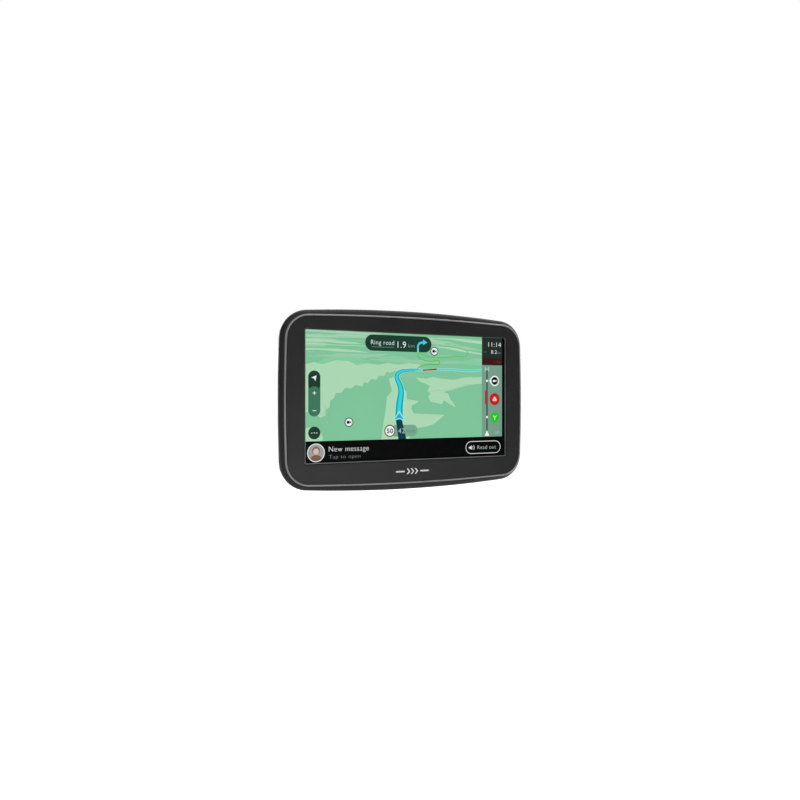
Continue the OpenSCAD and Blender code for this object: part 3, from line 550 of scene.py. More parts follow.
# How tall a figure is in a line of size 1.
FIGURE_SHARE = 0.7


def words(paint, text, u, v, height, width, layer, weight=0.0):
    """Plain figures and words, by left edge, middle line, height of the figures and full width."""
    curve = bpy.data.curves.new("words", "FONT")
    curve.body = text
    curve.size = height / FIGURE_SHARE
    curve.offset = weight
    curve.space_character = 1.08
    curve.resolution_u = 4
    bm = mesh_of(curve)
    left = min(vert.co.x for vert in bm.verts)
    right = max(vert.co.x for vert in bm.verts)
    bmesh.ops.translate(bm, vec=(-left, 0, 0), verts=bm.verts)
    bmesh.ops.scale(bm, vec=(width / (right - left), -1, 1), verts=bm.verts)
    collect(paint, bm, u, v + height / 2, layer)


def map_ground(material):
    """The lit sheet of the map, behind everything else drawn on it."""
    bm = bmesh.new()
    bmesh.ops.create_grid(bm, x_segments=1, y_segments=1, size=0.5)
    bmesh.ops.scale(bm, vec=(DISPLAY_W * DISPLAY_STRETCH, DISPLAY_H, 1), verts=bm.verts)
    bmesh.ops.transform(bm, matrix=Matrix.Rotation(math.radians(90), 4, "X"), verts=bm.verts)
    bmesh.ops.translate(bm, vec=on_display(DISPLAY_W / 2, DISPLAY_H / 2, 0), verts=bm.verts)
    obj = piece("map_ground", bm, material, "navigator", 0)


def ground_light(name):
    """Map green, with pale haze and long streaks of fields towards the horizon at the top."""
    mat, tree, shader = new_material(name)
    where = add(tree, "TexCoord")
    parts = add(tree, "SeparateXYZ")
    tree.links.new(where.outputs["Object"], parts.inputs["Vector"])
    far = add(tree, "MapRange")
    dial(far, From_Min=(WINDOW_Z + 8) * MM, From_Max=(WINDOW_Z + DISPLAY_H / 2) * MM)
    tree.links.new(parts.outputs["Z"], far.inputs["Value"])
    streaks = surface_noise(tree, 10.0, 4.0, (0.32, 1.0, 5.5))
    bands = add(tree, "MapRange")
    dial(bands, From_Min=0.5, From_Max=0.56)
    tree.links.new(streaks, bands.inputs["Value"])
    amount = add(tree, "Math", operation="MULTIPLY")
    tree.links.new(far.outputs["Result"], amount.inputs[0])
    tree.links.new(bands.outputs["Result"], amount.inputs[1])
    fields = mottle(tree, amount.outputs[0], tone(132, 205, 161), tone(176, 220, 186))
    backlight = add(tree, "MapRange")
    dial(backlight, To_Min=0.97, To_Max=1.03)
    tree.links.new(surface_noise(tree, 30.0, 1.0), backlight.inputs["Value"])
    dial(shader, Base_Color=(0.004, 0.004, 0.004, 1), Roughness=0.5, Specular_IOR_Level=0.1)
    tree.links.new(fields, shader.inputs["Emission Color"])
    tree.links.new(backlight.outputs["Result"], shader.inputs["Emission Strength"])
    return mat


PAINTS = {
    "field_pale": tone(172, 217, 180),
    "field_green": tone(132, 205, 161),
    "haze": tone(176, 218, 186),
    "lane_grey": tone(158, 190, 176),
    "halo": tone(160, 232, 214),
    "route_edge": tone(22, 150, 164),
    "route": tone(44, 214, 224),
    "route_far": tone(84, 206, 205),
    "driven": tone(9, 60, 74),
    "speed_unit": tone(84, 126, 106),
    "arrow": tone(74, 200, 224),
    "marker": tone(52, 164, 196),
    "marker_edge": tone(134, 236, 240),
    "jam": tone(170, 52, 44),
    "lane_green": tone(92, 190, 70),
    "panel": tone(27, 62, 46),
    "panel_mid": tone(62, 118, 92),
    "bar_top": tone(36, 47, 42),
    "bar_red": tone(58, 26, 28),
    "bar_glass": tone(118, 158, 138),
    "bar_line": tone(12, 18, 16),
    "speed_pill": tone(120, 168, 142),
    "white": tone(238, 244, 242),
    "grey": tone(120, 140, 134),
    "sign_ring": tone(104, 62, 56),
    "black": tone(8, 9, 9),
    "red": tone(208, 34, 40),
    "glow_red": tone(190, 96, 84),
    "green": tone(32, 196, 44),
    "strip": tone(3, 3, 3),
    "portrait": tone(206, 188, 178),
    "portrait_dark": tone(122, 92, 82),
    "portrait_back": tone(160, 158, 156),
    "bar_text_red": tone(150, 42, 42),
    "underline": tone(80, 140, 130),
    "arrow_stem": tone(146, 206, 206),
    "sign_dark": tone(52, 70, 58),
    "faint": tone(170, 200, 186),
    "faint_dark": tone(82, 96, 92),
    "bar_jam": tone(150, 62, 54),
    "red_dark": tone(128, 24, 28),
    "pink": tone(250, 190, 190),
    "glow_green": tone(84, 176, 104),
    "lime": tone(176, 250, 120),
}


def draw_land():
    """Pale and green fields, hazy far ones and a few thin lanes."""
    west = [(0.2, 19.5), (6, 18.2), (10, 19), (14, 17.4), (21.5, 16.5), (26.5, 17), (32, 19.4), (38, 18.2),
            (45.5, 18.8), (52, 17.6), (59, 18.5), (66, 17.4), (73.5, 18), (73.5, 20.5), (66, 21.5),
            (60, 23.5), (57, 22.2), (53, 23.4), (51, 22.8), (49.5, 25.4), (46, 25.2), (44.5, 27.6),
            (41, 27.2), (39, 29.6), (36.5, 29.2), (35.5, 31.6), (31, 30.8), (28.5, 32.8), (24.5, 32.6),
            (22.5, 35.2), (19, 35.6), (17.6, 38.6), (15.4, 40), (15.2, 43.5), (12.8, 45), (12.6, 48.4),
            (9.6, 49.4), (4, 46), (0.2, 46.5)]
    south = [(52.5, 27), (57, 25), (60, 29.5), (64, 34.5), (64.5, 39), (72.5, 40), (71, 41.5),
             (68, 42.5), (67.5, 44.5), (69, 47.5), (90.5, 48.5), (86.5, 51.5), (83, 54), (77.5, 55.5),
             (69, 56.5), (66, STRIP_TOP), (47.5, STRIP_TOP), (49, 52.5), (50.5, 44.5), (51, 38), (54.5, 34)]
    east = [(70.5, 26), (77.5, 26.5), (82, 25.5), (89.5, 26.5), (97, 27), (104.5, 25.5), (117.5, 25),
            (117.5, 29), (106, 30.5), (97, 33), (89.5, 34.5), (93, 35.5), (94.5, 39), (97, 41.5),
            (98.5, 44), (94, 42), (90, 39.5), (88.5, 42), (86, 41.5), (80.5, 40.5), (79, 37.5),
            (80.5, 35.5), (78.5, 34), (80, 31), (77, 29.5), (73.5, 28.5)]
    for field in (west, south, east):
        patch("field_pale", field, 1)
    patch("field_pale", [(0.2, 56), (9, 57), (10.5, STRIP_TOP), (0.2, STRIP_TOP)], 1, smooth=True)
    green = [[(7, 18.6), (12, 16), (22, 14.6), (34, 15.2), (41, 17), (28, 17.2), (19, 16.8), (11, 19.2)],
             [(44, 14.5), (56, 13.2), (66, 14), (60, 15.6), (50, 15.4)],
             [(96, 15), (117.5, 15.5), (117.5, 18), (104, 17)]]
    for field in green:
        patch("field_green", field, 2)
    far = [[(0.2, 5.2), (14, 5.4), (30, 6.2), (36, 7.0), (24, 7.2), (12, 6.6), (0.2, 6.4)],
           [(0.2, 10.4), (20, 10.2), (34, 11), (40, 12), (20, 11.8), (8, 11.2), (0.2, 11.6)]]
    for field in far:
        patch("field_pale", field, 2)
    hazy = [[(92, 1.4), (104, 1.6), (117.6, 2.6), (117.6, 4.2), (108, 3.6), (98, 2.6)],
            [(84, 6.2), (94, 6.5), (108, 9), (117.6, 10.2), (117.6, 11), (100, 9.2), (88, 7.4)]]
    for field in hazy:
        patch("haze", field, 2)
    ribbon("haze", [(0.5, 7.8), (19, 8.1), (37.5, 8.2)], 0.35, 3)
    lanes = [(0.25, [(11, 42.5), (12.5, 44), (11, 49), (13.5, 52), (12, 56), (10, 59.5)]),
             (0.2, [(12.6, 42), (13.8, 46), (13, 50.5), (14.8, 54)]),
             (0.25, [(80, 34.2), (86, 33.6), (94, 33.2), (104, 30.4), (117.6, 29.2)]),
             (0.25, [(96, 21.3), (102, 23.6), (108, 24.6), (113.5, 25.3), (114.5, 23.2), (117.5, 22.5)])]
    for width, lane in lanes:
        ribbon("lane_grey", lane, width, 3)


def draw_roads():
    """The side roads, and the route from the car to the turn and on to the horizon."""
    climb = [(72.6, 21.4), (72.0, 20.5), (74.4, 19.0), (80.1, 17.9), (86.9, 16.4), (80.5, 15.9), (74.6, 14.9),
             (71.9, 12.8), (72.4, 10.9)]
    loop = [(73.0, 11.0), (75.5, 12.0), (79, 13.2), (86, 13.6), (97, 12.6), (107.3, 10.3), (104.5, 8.2),
            (95, 6.8), (86, 6.4)]
    ribbon("lane_green", climb, 0.6, 3)
    ribbon("lane_green", loop, 0.42, 3)
    away = [(70, 21.5), (84, 21.1), (98, 20.8), (108, 21.3), (118, 20.6)]
    ribbon("halo", away, 1.5, 3)
    ribbon("route_far", away, 0.9, 4)
    ribbon("jam", [(75.2, 21.5), (80, 21.1), (84.9, 20.8)], 0.95, 5)
    ahead = [(59.2, 49.5, 1.0), (59.4, 43, 0.94), (60.2, 37.5, 0.86), (60.5, 34, 0.78), (59.5, 30.2, 0.7),
             (58.1, 27.4, 0.64), (57.7, 24.9, 0.58), (59.6, 22.9, 0.47), (64.6, 21.8, 0.35),
             (72.3, 21.2, 0.26)]
    ribbon("halo", ahead, 5.9, 3)
    ribbon("route_edge", ahead, 4.8, 4)
    ribbon("route", ahead, 2.8, 5)
    patch("driven", [(56.9, 50.5), (60.9, 50.5), (64.0, STRIP_TOP), (58.7, STRIP_TOP)], 7)


def draw_marker():
    """The arrowhead that stands for the car."""
    patch("marker_edge", [(59.4, 45.6), (63.6, 52.0), (59.4, 50.8), (54.9, 51.9)], 8)
    patch("marker", [(59.4, 47.2), (62.4, 51.1), (59.4, 50.0), (56.1, 51.0)], 9)


def draw_turn_panel():
    """The next turn: its road, its distance and a bent arrow."""
    pill("panel", 37.2, 1.2, 81.2, 10.7, 6)
    words("white", "Ring road", 40.9, 5.6, 2.7, 15.0, 7, -0.04)
    pill("underline", 41.1, 8.2, 56.0, 8.55, 7, 0)
    words("white", "1.9", 58.2, 6.5, 3.8, 5.6, 7, -0.03)
    words("grey", "km", 65.4, 7.0, 2.1, 4.2, 7)
    ribbon("arrow_stem", [(71.9, 10.7), (71.9, 9.0), (71.9, 7.4)], 1.2, 7)
    ribbon("arrow", [(71.9, 8.4), (71.9, 6.9), (73.1, 5.3), (75.8, 4.6)], 1.25, 8)
    patch("arrow", [(75.3, 2.8), (78.4, 4.6), (75.4, 6.4)], 8)


def warning_sign(u, v, radius, layer):
    """A round white sign with a dark ring and a small camera on it."""
    disc("sign_dark", u, v, radius, layer)
    disc("white", u, v, radius * 0.8, layer + 1)
    pill("black", u - radius * 0.5, v - radius * 0.3, u + radius * 0.15, v + radius * 0.3, layer + 2, 0.1)
    patch("black", [(u + radius * 0.15, v), (u + radius * 0.52, v - radius * 0.26),
                    (u + radius * 0.52, v + radius * 0.3)], layer + 2)


def draw_signs():
    """Two camera signs, and the speed limit beside the speed."""
    warning_sign(83.2, 9.8, 2.75, 8)
    warning_sign(27.0, 52.2, 2.7, 6)
    limit_u, limit_v = 53.1, 57.6
    pill("speed_pill", limit_u + 0.5, 54.2, 71.6, 61.2, 6)
    disc("sign_ring", limit_u, limit_v, 3.6, 7)
    disc("white", limit_u, limit_v, 2.95, 8)
    words("black", "50", limit_u - 2.0, limit_v, 2.7, 4.1, 9, 0.09)
    words("faint", "42", 58.6, 57.7, 2.9, 4.4, 8)
    words("speed_unit", "km/h", 64.2, 58.0, 1.9, 5.6, 8)


def draw_controls():
    """The pill with the view, closer and farther keys, and the round menu key."""
    left, right = 2.4, 9.6
    pill("panel_mid", left, 22.9, right, 48.7, 6)
    pill("panel", left, 22.9, right, 34.0, 7)
    pill("panel_mid", left, 31.8, right, 39.0, 8, 3.59)
    patch("white", [(7.3, 25.6), (6.6, 28.9), (5.8, 27.4), (4.2, 26.8)], 9)
    middle, stroke = (left + right) / 2, 0.2
    for down in (35.5, 45.4):
        pill("white", middle - 1, down - stroke, middle + 1, down + stroke, 9, 0.1)
    pill("white", middle - stroke, 34.5, middle + stroke, 36.5, 9, 0.1)
    disc("panel", middle, 57.9, 3.6, 6)
    for step in (-1.45, 0, 1.45):
        disc("white", middle + step, 57.9, 0.3, 7)


def draw_route_bar():
    """The journey bar down the right-hand side."""
    pill("bar_glass", BAR_LEFT, 12.0, DISPLAY_W, STRIP_TOP, 5, 0)
    pill("bar_top", BAR_LEFT, 0.0, DISPLAY_W, 17.4, 6, 0)
    pill("bar_red", BAR_LEFT, 12.8, DISPLAY_W, 17.2, 7, 0)
    words("white", "11:14", 122.4, 4.2, 2.9, 9.6, 8, -0.03)
    words("white", "8.2", 124.5, 8.9, 2.2, 4.3, 8, -0.02)
    words("grey", "km", 129.4, 9.3, 1.5, 2.7, 8)
    words("faint_dark", "to", 118.8, 8.9, 1.3, 2.2, 8)
    words("bar_text_red", "1 min", 127.2, 15.0, 1.6, 4.8, 8)
    draw_journey_line(121.4)
    draw_camera_ahead(127.2, 27.3)
    draw_jam_ahead(127.2, 38.9)
    draw_fork_ahead(127.3, 50.5)
    words("faint", "x6", 127.6, 59.8, 1.7, 3.0, 7)


def draw_journey_line(u):
    """The line of the journey, with its goal, its jam, two stops and the car at its foot."""
    pill("bar_line", u - 0.4, 20.8, u + 0.4, 61.0, 6, 0)
    pill("bar_jam", u - 1.5, 33.6, u - 0.4, 42.2, 6, 0.5)
    pill("bar_jam", u - 0.5, 33.8, u + 0.7, 42.0, 7, 0)
    for left in (u - 1.7, u + 1.0):
        pill("faint", left, 18.4, left + 0.7, 21.3, 6, 0.1)
    pill("faint", u - 1.5, 19.6, u + 1.6, 20.2, 7, 0)
    for v in (27.3, 50.2):
        disc("white", u, v, 0.75, 8)
    patch("white", [(u, 58.5), (u + 1.8, 62.0), (u - 1.8, 62.0)], 8)


def draw_camera_ahead(u, v):
    disc("white", u, v, 3.35, 7)
    patch("white", [(u - 4.3, v), (u - 2.0, v - 2.3), (u - 2.0, v + 2.3)], 7)
    disc("black", u, v, 2.5, 8)
    pill("white", u - 1.4, v - 0.6, u + 0.3, v + 0.7, 9, 0.15)
    patch("white", [(u + 0.2, v), (u + 1.3, v - 0.8), (u + 1.3, v + 0.8)], 9)


def draw_jam_ahead(u, v):
    disc("glow_red", u, v, 4.0, 6)
    disc("red_dark", u, v, 3.5, 7)
    disc("red", u, v, 2.9, 8)
    pill("pink", u - 1.6, v - 0.3, u + 1.6, v + 1.2, 9, 0.4)
    patch("pink", [(u - 1.1, v - 0.2), (u - 0.6, v - 1.5), (u + 0.6, v - 1.5), (u + 1.1, v - 0.2)], 9)


def draw_fork_ahead(u, v):
    disc("glow_green", u, v, 3.6, 6)
    disc("green", u, v, 3.0, 7)
    for side in (-1.3, 1.3):
        ribbon("lime", [(u, v + 1.7), (u, v + 0.2), (u + side, v - 1.2)], 0.65, 9)


def draw_message_strip():
    """The black strip along the bottom, with a plain head-and-shoulders sign at its left end."""
    pill("strip", 0, STRIP_TOP, DISPLAY_W, DISPLAY_H, 5, 0)
    head = 7.0
    disc("white", head, 69.1, 5.2, 6)
    disc("portrait_back", head, 69.1, 4.75, 7)
    disc("portrait_dark", head, 68.0, 2.3, 8)
    disc("portrait", head, 68.4, 1.75, 9)
    patch("portrait_dark", [(3.8, 72.4), (4.7, 71.0), (head, 70.4), (9.3, 71.0), (10.2, 72.4), (8.7, 73.4),
                            (head, 73.8), (5.3, 73.4)], 8, smooth=True)
    words("white", "New message", 14.7, 67.2, 3.0, 24.8, 6, -0.06)
    words("grey", "Tap to open", 14.7, 71.6, 2.2, 19.5, 6, -0.05)
    left, top, right, bottom, rim = 105.6, 65.2, 131.6, 73.1, 0.35
    pill("white", left, top, right, bottom, 6)
    pill("strip", left + rim, top + rim, right - rim, bottom - rim, 7)
    patch("white", [(107.9, 68.7), (108.8, 68.7), (109.9, 67.7), (109.9, 70.7), (108.8, 69.7),
                    (107.9, 69.7)], 8)
    for u, bulge, half in ((110.6, 0.4, 1.0), (111.4, 0.6, 1.5)):
        ribbon("white", [(u, 69.2 - half), (u + bulge, 69.2), (u, 69.2 + half)], 0.25, 8)
    words("faint", "Read out", 114.2, 69.1, 2.4, 14.0, 8, -0.03)


def screen_picture():
    """Draws everything, then makes one piece of each paint."""
    map_ground(ground_light("map_ground_light"))
    draw_land()
    draw_roads()
    draw_marker()
    draw_turn_panel()
    draw_signs()
    draw_controls()
    draw_route_bar()
    draw_message_strip()
    for paint, sheet in picture.items():
        obj = piece("picture_" + paint, sheet, lit("light_" + paint, PAINTS[paint]), "navigator", 0)


def face_emblem(material):
    """A small white mark under the window: three chevrons between two bars."""
    bm = bmesh.new()
    for centre in (-8.2, 8.2):
        made = bmesh.ops.create_grid(bm, x_segments=1, y_segments=1, size=0.5)["verts"]
        bmesh.ops.scale(bm, vec=(6.0, 0.9, 1), verts=made)
        bmesh.ops.translate(bm, vec=(centre, 0, 0), verts=made)
        bmesh.ops.bevel(bm, geom=made, offset=0.44, segments=5, profile=0.5, affect="VERTICES", material=-1)
    half_height, stroke, tip = 1.7, 0.95, 2.4
    chevron = ((0, half_height), (stroke, half_height), (tip, 0), (stroke, -half_height),
               (0, -half_height), (tip - stroke, 0))
    for left in (-4.0, -1.3, 1.4):
        bm.faces.new([bm.verts.new((left + x, y, 0)) for x, y in chevron])
    to_face = Matrix.Translation((0, FACE_Y - 0.02, -42.2)) @ Matrix.Rotation(math.radians(90), 4, "X")
    bmesh.ops.transform(bm, matrix=to_face, verts=bm.verts)
    bm.normal_update()
    bmesh.ops.reverse_faces(bm, faces=[face for face in bm.faces if face.normal.y > 0])
    obj = piece("face_emblem", bm, material, "navigator", 0)


# ---- Finishes of everything ----


def touch_glass(name):
    """Touch panel: clear, with a faint matt film that softens reflections."""
    mat, tree, shader = new_material(name)
    dial(shader, Base_Color=(0.002, 0.002, 0.002, 1), Alpha=0.06, Specular_IOR_Level=0.12)
    tree.links.new(spread(tree, surface_noise(tree, 25.0, 2.0), 0.16, 0.24), shader.inputs["Roughness"])
    return mat


def dress_case():
    """The shells, the trim, the keys and grille in them, and the touch panel."""
    bezel = plastic("bezel_matt", tone(34, 33, 34), 0.46, grain=0.5, depth=0.008, gloss=0.35)
    cover = plastic("cover_matt", tone(34, 34, 35), 0.5, grain=0.55, depth=0.02, gloss=0.4)
    trim = plastic("trim_satin", tone(148, 148, 149), 0.3, grain=0.8, depth=0.003, gloss=0.7)
    front_moulding(bezel)
    trim_bead(trim)
    # A light grey line round the window: a painted highlight along its bottom and left edges.
    painted_highlight_edge(plastic("edge_painted_highlight", tone(128, 130, 132), 0.3, grain=0.6, depth=0.002, gloss=0.6))
    from_cad("rear_cover", "rear_moulding", cover, "navigator")
    button = plastic("button_satin", tone(52, 52, 54), 0.4, 0.4, 0.01)
    from_cad("power_button", "power_cap", button, "power_key")
    grille = plastic("grille_satin", tone(34, 34, 35), 0.42, 0.4, 0.01)
    from_cad("speaker_grille", "hub_grille", grille, "navigator")
    finish_node("touch_panel", touch_glass("touch_clear"))
    finish_node("window_gasket", rubber("gasket_foam", (0.006, 0.006, 0.006, 1), 0.8))
    finish_node("case_screws", metal("screw_black", (0.12, 0.12, 0.125, 1), 0.35))


def dress_inside():
    """The display stack, the board with what sits on it, and the battery."""
    finish_node("lcd_panel", plastic("lcd_dark", (0.008, 0.008, 0.009, 1), 0.25, 2.0, 0.002))
    finish_node("light_guide", plastic("guide_clear", (0.8, 0.84, 0.86, 1), 0.2, 1.5, 0.004))
    finish_node("led_bar", plastic("led_cream", (0.8, 0.7, 0.3, 1), 0.35, 1.0, 0.005))
    finish_node("lcd_tray", metal("tray_steel", (0.6, 0.6, 0.62, 1), 0.35, (6, 1, 0.4)))
    finish_node("chassis", metal("chassis_alloy", (0.38, 0.39, 0.41, 1), 0.5, grain=1.2, depth=0.02))
    finish_node("shield_cans", metal("can_steel", (0.62, 0.62, 0.64, 1), 0.3, (1, 1, 8)))
    finish_node("main_board", circuit_board("board_mask"))
    finish_node("board_chips", plastic("chip_epoxy", (0.012, 0.012, 0.013, 1), 0.45, 0.3, 0.01))
    finish_node("board_connectors", plastic("connector_cream", (0.6, 0.57, 0.47, 1), 0.4, 0.6, 0.008))
    finish_node("aerial", plastic("aerial_ceramic", (0.6, 0.52, 0.4, 1), 0.55, 0.5, 0.02))
    finish_node("thermal_pad", rubber("pad_silicone", (0.28, 0.34, 0.45, 1), 0.6))
    finish_node("microphone", metal("mic_gilt", (0.72, 0.58, 0.3, 1), 0.3))
    for node in ("usb_socket", "card_socket"):
        finish_node(node, metal(node + "_tin", (0.6, 0.6, 0.62, 1), 0.32, (1, 1, 6)))
    for node in ("power_switch", "reset_switch"):
        finish_node(node, plastic(node + "_black", (0.02, 0.02, 0.02, 1), 0.4, 0.5, 0.008))
    for node in ("power_plunger", "reset_plunger"):
        finish_node(node, plastic(node + "_white", (0.68, 0.68, 0.66, 1), 0.35, 0.5, 0.004))
    for node in ("touch_ribbon", "lcd_ribbon"):
        finish_node(node, film(node + "_film", (0.62, 0.3, 0.06, 1)))
    finish_node("battery", metal("battery_foil", (0.6, 0.62, 0.66, 1), 0.38, grain=3.0, depth=0.05))
    finish_node("battery_tape", plastic("tape_blue", (0.04, 0.08, 0.3, 1), 0.5, 1.5, 0.01))
    for node in ("battery_lead", "speaker_lead"):
        finish_node(node, rubber(node + "_vinyl", (0.35, 0.012, 0.012, 1), 0.4))
    for node in ("board_screws", "bail_screws"):
        finish_node(node, metal(node + "_zinc", (0.5, 0.5, 0.52, 1), 0.3))


def dress_speaker():
    finish_node("speaker_frame", metal("speaker_steel", (0.22, 0.22, 0.23, 1), 0.4))
    finish_node("speaker_magnet", metal("magnet_grey", (0.1, 0.1, 0.105, 1), 0.5, grain=1.0, depth=0.01))
    finish_node("speaker_cone", woven("cone_paper", (0.03, 0.03, 0.03, 1), 0.4))
    finish_node("speaker_gasket", rubber("speaker_foam", (0.008, 0.008, 0.008, 1), 0.85))
    finish_node("speaker_mesh", woven("mesh_cloth", (0.025, 0.025, 0.026, 1), 0.5))


def soft_cup(material):
    """The rubber cup: a sealing lip on the glass, a ribbed flange and a hub moulded round the stem's foot."""
    flange_out, flange_in = Vector((29.0, 0, -1.7)), Vector((23.4, 0, -4.85))
    along = flange_in - flange_out
    proud = Vector((0.49, 0, -0.87)) * 0.22
    half_rib = along * 0.045
    ribs = []
    for share in (0.2, 0.4, 0.6, 0.8):
        crest = flange_out + along * share
        ribs += [crest - half_rib, crest + proud, crest + half_rib]
    under = [(0, -3.0), (9, -3.0), (14, -2.4), (19, -1.2), (23, 0), (29.7, 0), (29.93, -0.1), (30, -0.3),
             (30, -0.9), (29.6, -1.35), (29.0, -1.7)]
    over = [(23.4, -4.85), (19, -4.85), (18, -4.5), (11.2, -6.1), (10.9, -7.2), (10.4, -7.9), (9.6, -8.1),
            (3.3, -8.1), (3.05, -7.9), (3.05, -6.75), (8.05, -6.75), (8.05, -5.05), (0, -5.05)]
    bm = bmesh.new()
    profile = under + [(p.x, p.z) for p in ribs] + over
    line = [bm.verts.new((radius, depth, 0)) for radius, depth in profile]
    edges = [bm.edges.new(pair) for pair in zip(line, line[1:])]
    bmesh.ops.spin(bm, geom=line + edges, cent=(0, 0, 0), axis=(0, 1, 0), angle=math.tau, steps=112,
                   use_merge=True)
    bmesh.ops.remove_doubles(bm, verts=bm.verts, dist=0.002)
    bmesh.ops.recalc_face_normals(bm, faces=bm.faces)
    obj = piece("soft_cup", bm, material, None, 35)
    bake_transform(obj)
    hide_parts("suction_cup")


def peel_tab(material):
    """The ribbed tab below the cup, for peeling the lip off the glass."""
    bm = bmesh.new()
    made = bmesh.ops.create_cube(bm, size=1)["verts"]
    bmesh.ops.scale(bm, vec=(11.9, 1.4, 13.0), verts=made)
    bmesh.ops.translate(bm, vec=(0, -1.05, -33.4), verts=made)
    low_edges = [e for e in bm.edges if all(v.co.z < -35 for v in e.verts)]
    foot = [e for e in low_edges if abs(e.verts[0].co.x - e.verts[1].co.x) < 1]
    bmesh.ops.bevel(bm, geom=foot, offset=5.7, segments=14, profile=0.5, affect="EDGES", material=-1)
    crisp = [e for e in bm.edges if e.calc_face_angle(0) > CRISP]
    bmesh.ops.bevel(bm, geom=crisp, offset=0.3, segments=3, profile=0.5, affect="EDGES", material=-1)
    rib_r = 0.45
    for rib in range(3):
        bar = bmesh.ops.create_cone(bm, segments=16, radius1=rib_r, radius2=rib_r, depth=6.6,
                                    cap_ends=True)["verts"]
        bmesh.ops.rotate(bm, cent=(0, 0, 0), matrix=Matrix.Rotation(math.radians(90), 3, "Y"), verts=bar)
        bmesh.ops.translate(bm, vec=(0, -1.68, -33.2 - 1.7 * rib), verts=bar)
    obj = piece("peel_tab", bm, material, "mount", 40)


def dress_mount():
    """The bail on its pivots, the cup's housing with its twist ring, and the cup."""
    shell = plastic("mount_satin", tone(34, 34, 36), 0.4, 0.6, 0.015)
    ring = plastic("ring_satin", tone(42, 42, 44), 0.42, 0.5, 0.015)
    from_cad("mount_bail", "bail", shell, "mount", 0.35)
    from_cad("cup_housing", "housing", shell, "mount", 0.25)
    from_cad("lock_ring", "twist_ring", ring, "lock_ring_body", 0.2)
    zinc = metal("pivot_zinc", (0.42, 0.42, 0.44, 1), 0.28)
    from_cad("pivot_screws", "pivots", zinc, "navigator", 0.12)
    nylon = plastic("washer_nylon", (0.66, 0.66, 0.62, 1), 0.4, 0.5, 0.006)
    from_cad("friction_washers", "washers", nylon, "navigator")
    finish_node("cup_stem", plastic("stem_acetal", (0.62, 0.62, 0.6, 1), 0.35, 0.6, 0.006))
    finish_node("cross_pin", metal("pin_ground", (0.6, 0.6, 0.62, 1), 0.2, (1, 6, 6)))
    cup_rubber = rubber("cup_rubber", (0.012, 0.012, 0.013, 1), 0.36)
    soft_cup(cup_rubber)
    peel_tab(cup_rubber)


# ---- Stage ----


def white_floor():
    """A floor far below, white to the eye and dimmer to the part."""
    bm = bmesh.new()
    bmesh.ops.create_grid(bm, x_segments=1, y_segments=1, size=40)
    mesh = bpy.data.meshes.new("floor")
    bm.to_mesh(mesh)
    bm.free()
    floor = bpy.data.objects.new("floor", mesh)
    floor.location = (0.4, 0.8, -0.16)
    mat, tree, shader = new_material("floor_white")
    dial(shader, Base_Color=(0.35, 0.35, 0.35, 1), Roughness=0.9, Specular_IOR_Level=0.0)
    dial(shader, Emission_Color=(1, 1, 1, 1))
    seen = add(tree, "LightPath")
    glow = add(tree, "MapRange")
    dial(glow, To_Min=0.42, To_Max=1.0)
    tree.links.new(seen.outputs["Is Camera Ray"], glow.inputs["Value"])
    tree.links.new(glow.outputs["Result"], shader.inputs["Emission Strength"])
    mesh.materials.append(mat)
    scene.collection.objects.link(floor)


def white_sky():
    """White all round to the eye, and a faint cool light to the part."""
    world = bpy.data.worlds.new("studio")
    scene.world = world
    world.use_nodes = True
    tree = world.node_tree
    tree.nodes.clear()
    out = add(tree, "OutputWorld")
    mix = add(tree, "MixShader")
    path = add(tree, "LightPath")
    dim = add(tree, "Background")
    bright = add(tree, "Background")
    dial(dim, Color=(0.95, 0.97, 1, 1), Strength=0.1)
    dial(bright, Color=(1, 1, 1, 1), Strength=1.0)
    tree.links.new(path.outputs["Is Camera Ray"], mix.inputs["Fac"])
    tree.links.new(dim.outputs[0], mix.inputs[1])
    tree.links.new(bright.outputs[0], mix.inputs[2])
    tree.links.new(mix.outputs[0], out.inputs["Surface"])


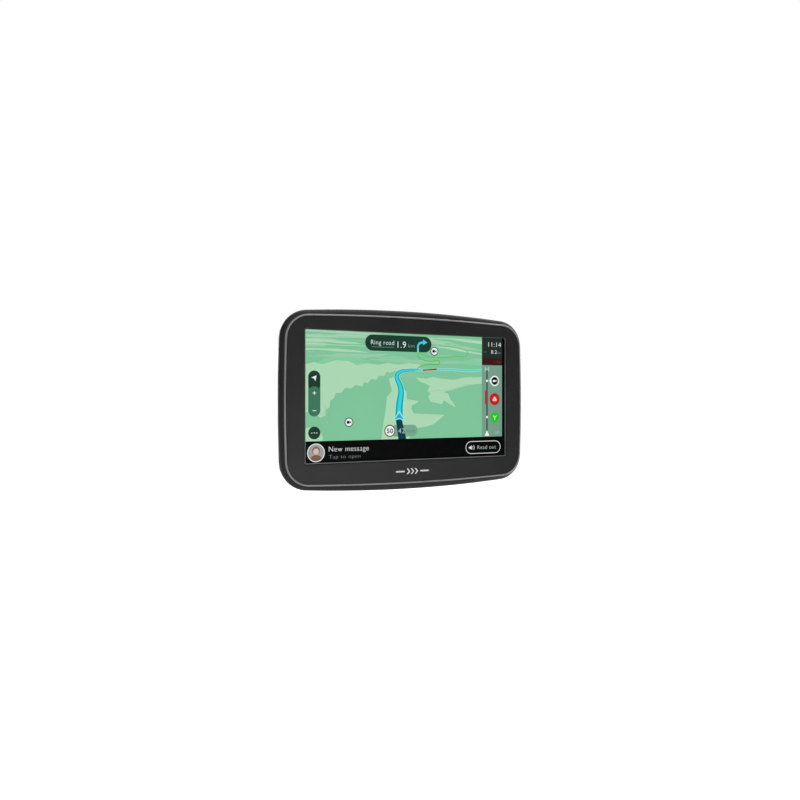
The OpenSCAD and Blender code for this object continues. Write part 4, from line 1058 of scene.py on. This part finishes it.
def softbox(name, place, aim, size, power):
    """A rectangular lamp, in metres and watts, aimed at a point."""
    light = bpy.data.lights.new(name, "AREA")
    light.shape = "RECTANGLE"
    light.size, light.size_y = size
    light.energy = power
    lamp = bpy.data.objects.new(name, light)
    lamp.location = place
    lamp.rotation_euler = (Vector(aim) - Vector(place)).to_track_quat("-Z", "Y").to_euler()
    scene.collection.objects.link(lamp)


def lights():
    """Soft light from above and the left, thin ones that pick out the edges, and one behind."""
    centre = (0, FACE_Y * MM, 0)
    softbox("key", (-0.5, -0.9, 0.75), centre, (0.7, 0.7), 3.5)
    softbox("fill", (1.2, -0.3, 0.35), centre, (0.5, 0.8), 0.3)
    softbox("top", (0.1, 0.2, 1.0), centre, (0.9, 0.6), 4)
    softbox("rim", (0.78, 0.35, 0.66), centre, (0.4, 0.5), 3.2)
    softbox("edge", (0.5, -0.18, 0.9), centre, (0.35, 0.3), 1.2)
    softbox("low", (0.126, -0.6, -0.14), (-0.07, FACE_Y * MM, -0.05), (0.14, 0.03), 0.42)
    softbox("left", (-0.75, -0.5, 0.05), centre, (0.2, 0.5), 0.4)
    softbox("under", (0.2, 0.02, -0.15), (0.05, FACE_Y * MM, -0.05), (0.3, 0.12), 0.25)
    softbox("back", (0.3, 0.9, 0.4), centre, (0.9, 0.6), 5)


def camera():
    """Level with the middle of the case, well to the left of it; places in metres, the turn in degrees."""
    data = bpy.data.cameras.new("camera")
    data.lens = 34.0
    data.sensor_width = 36
    data.clip_start = 0.01
    aside, away, up, turn = -0.2159, 0.3943, 0.00007, -27.75
    cam = bpy.data.objects.new("camera", data)
    cam.location = (aside, FACE_Y * MM - away, up)
    cam.rotation_euler = (math.radians(90), 0, math.radians(turn))
    scene.collection.objects.link(cam)
    scene.camera = cam


camera()
dress_case()
dress_inside()
dress_speaker()
dress_mount()
screen_picture()
face_emblem(plastic("emblem_white", (0.9, 0.9, 0.9, 1), 0.4, 0.8, 0.003))
white_floor()
white_sky()
lights()
scene.view_settings.view_transform = "Standard"
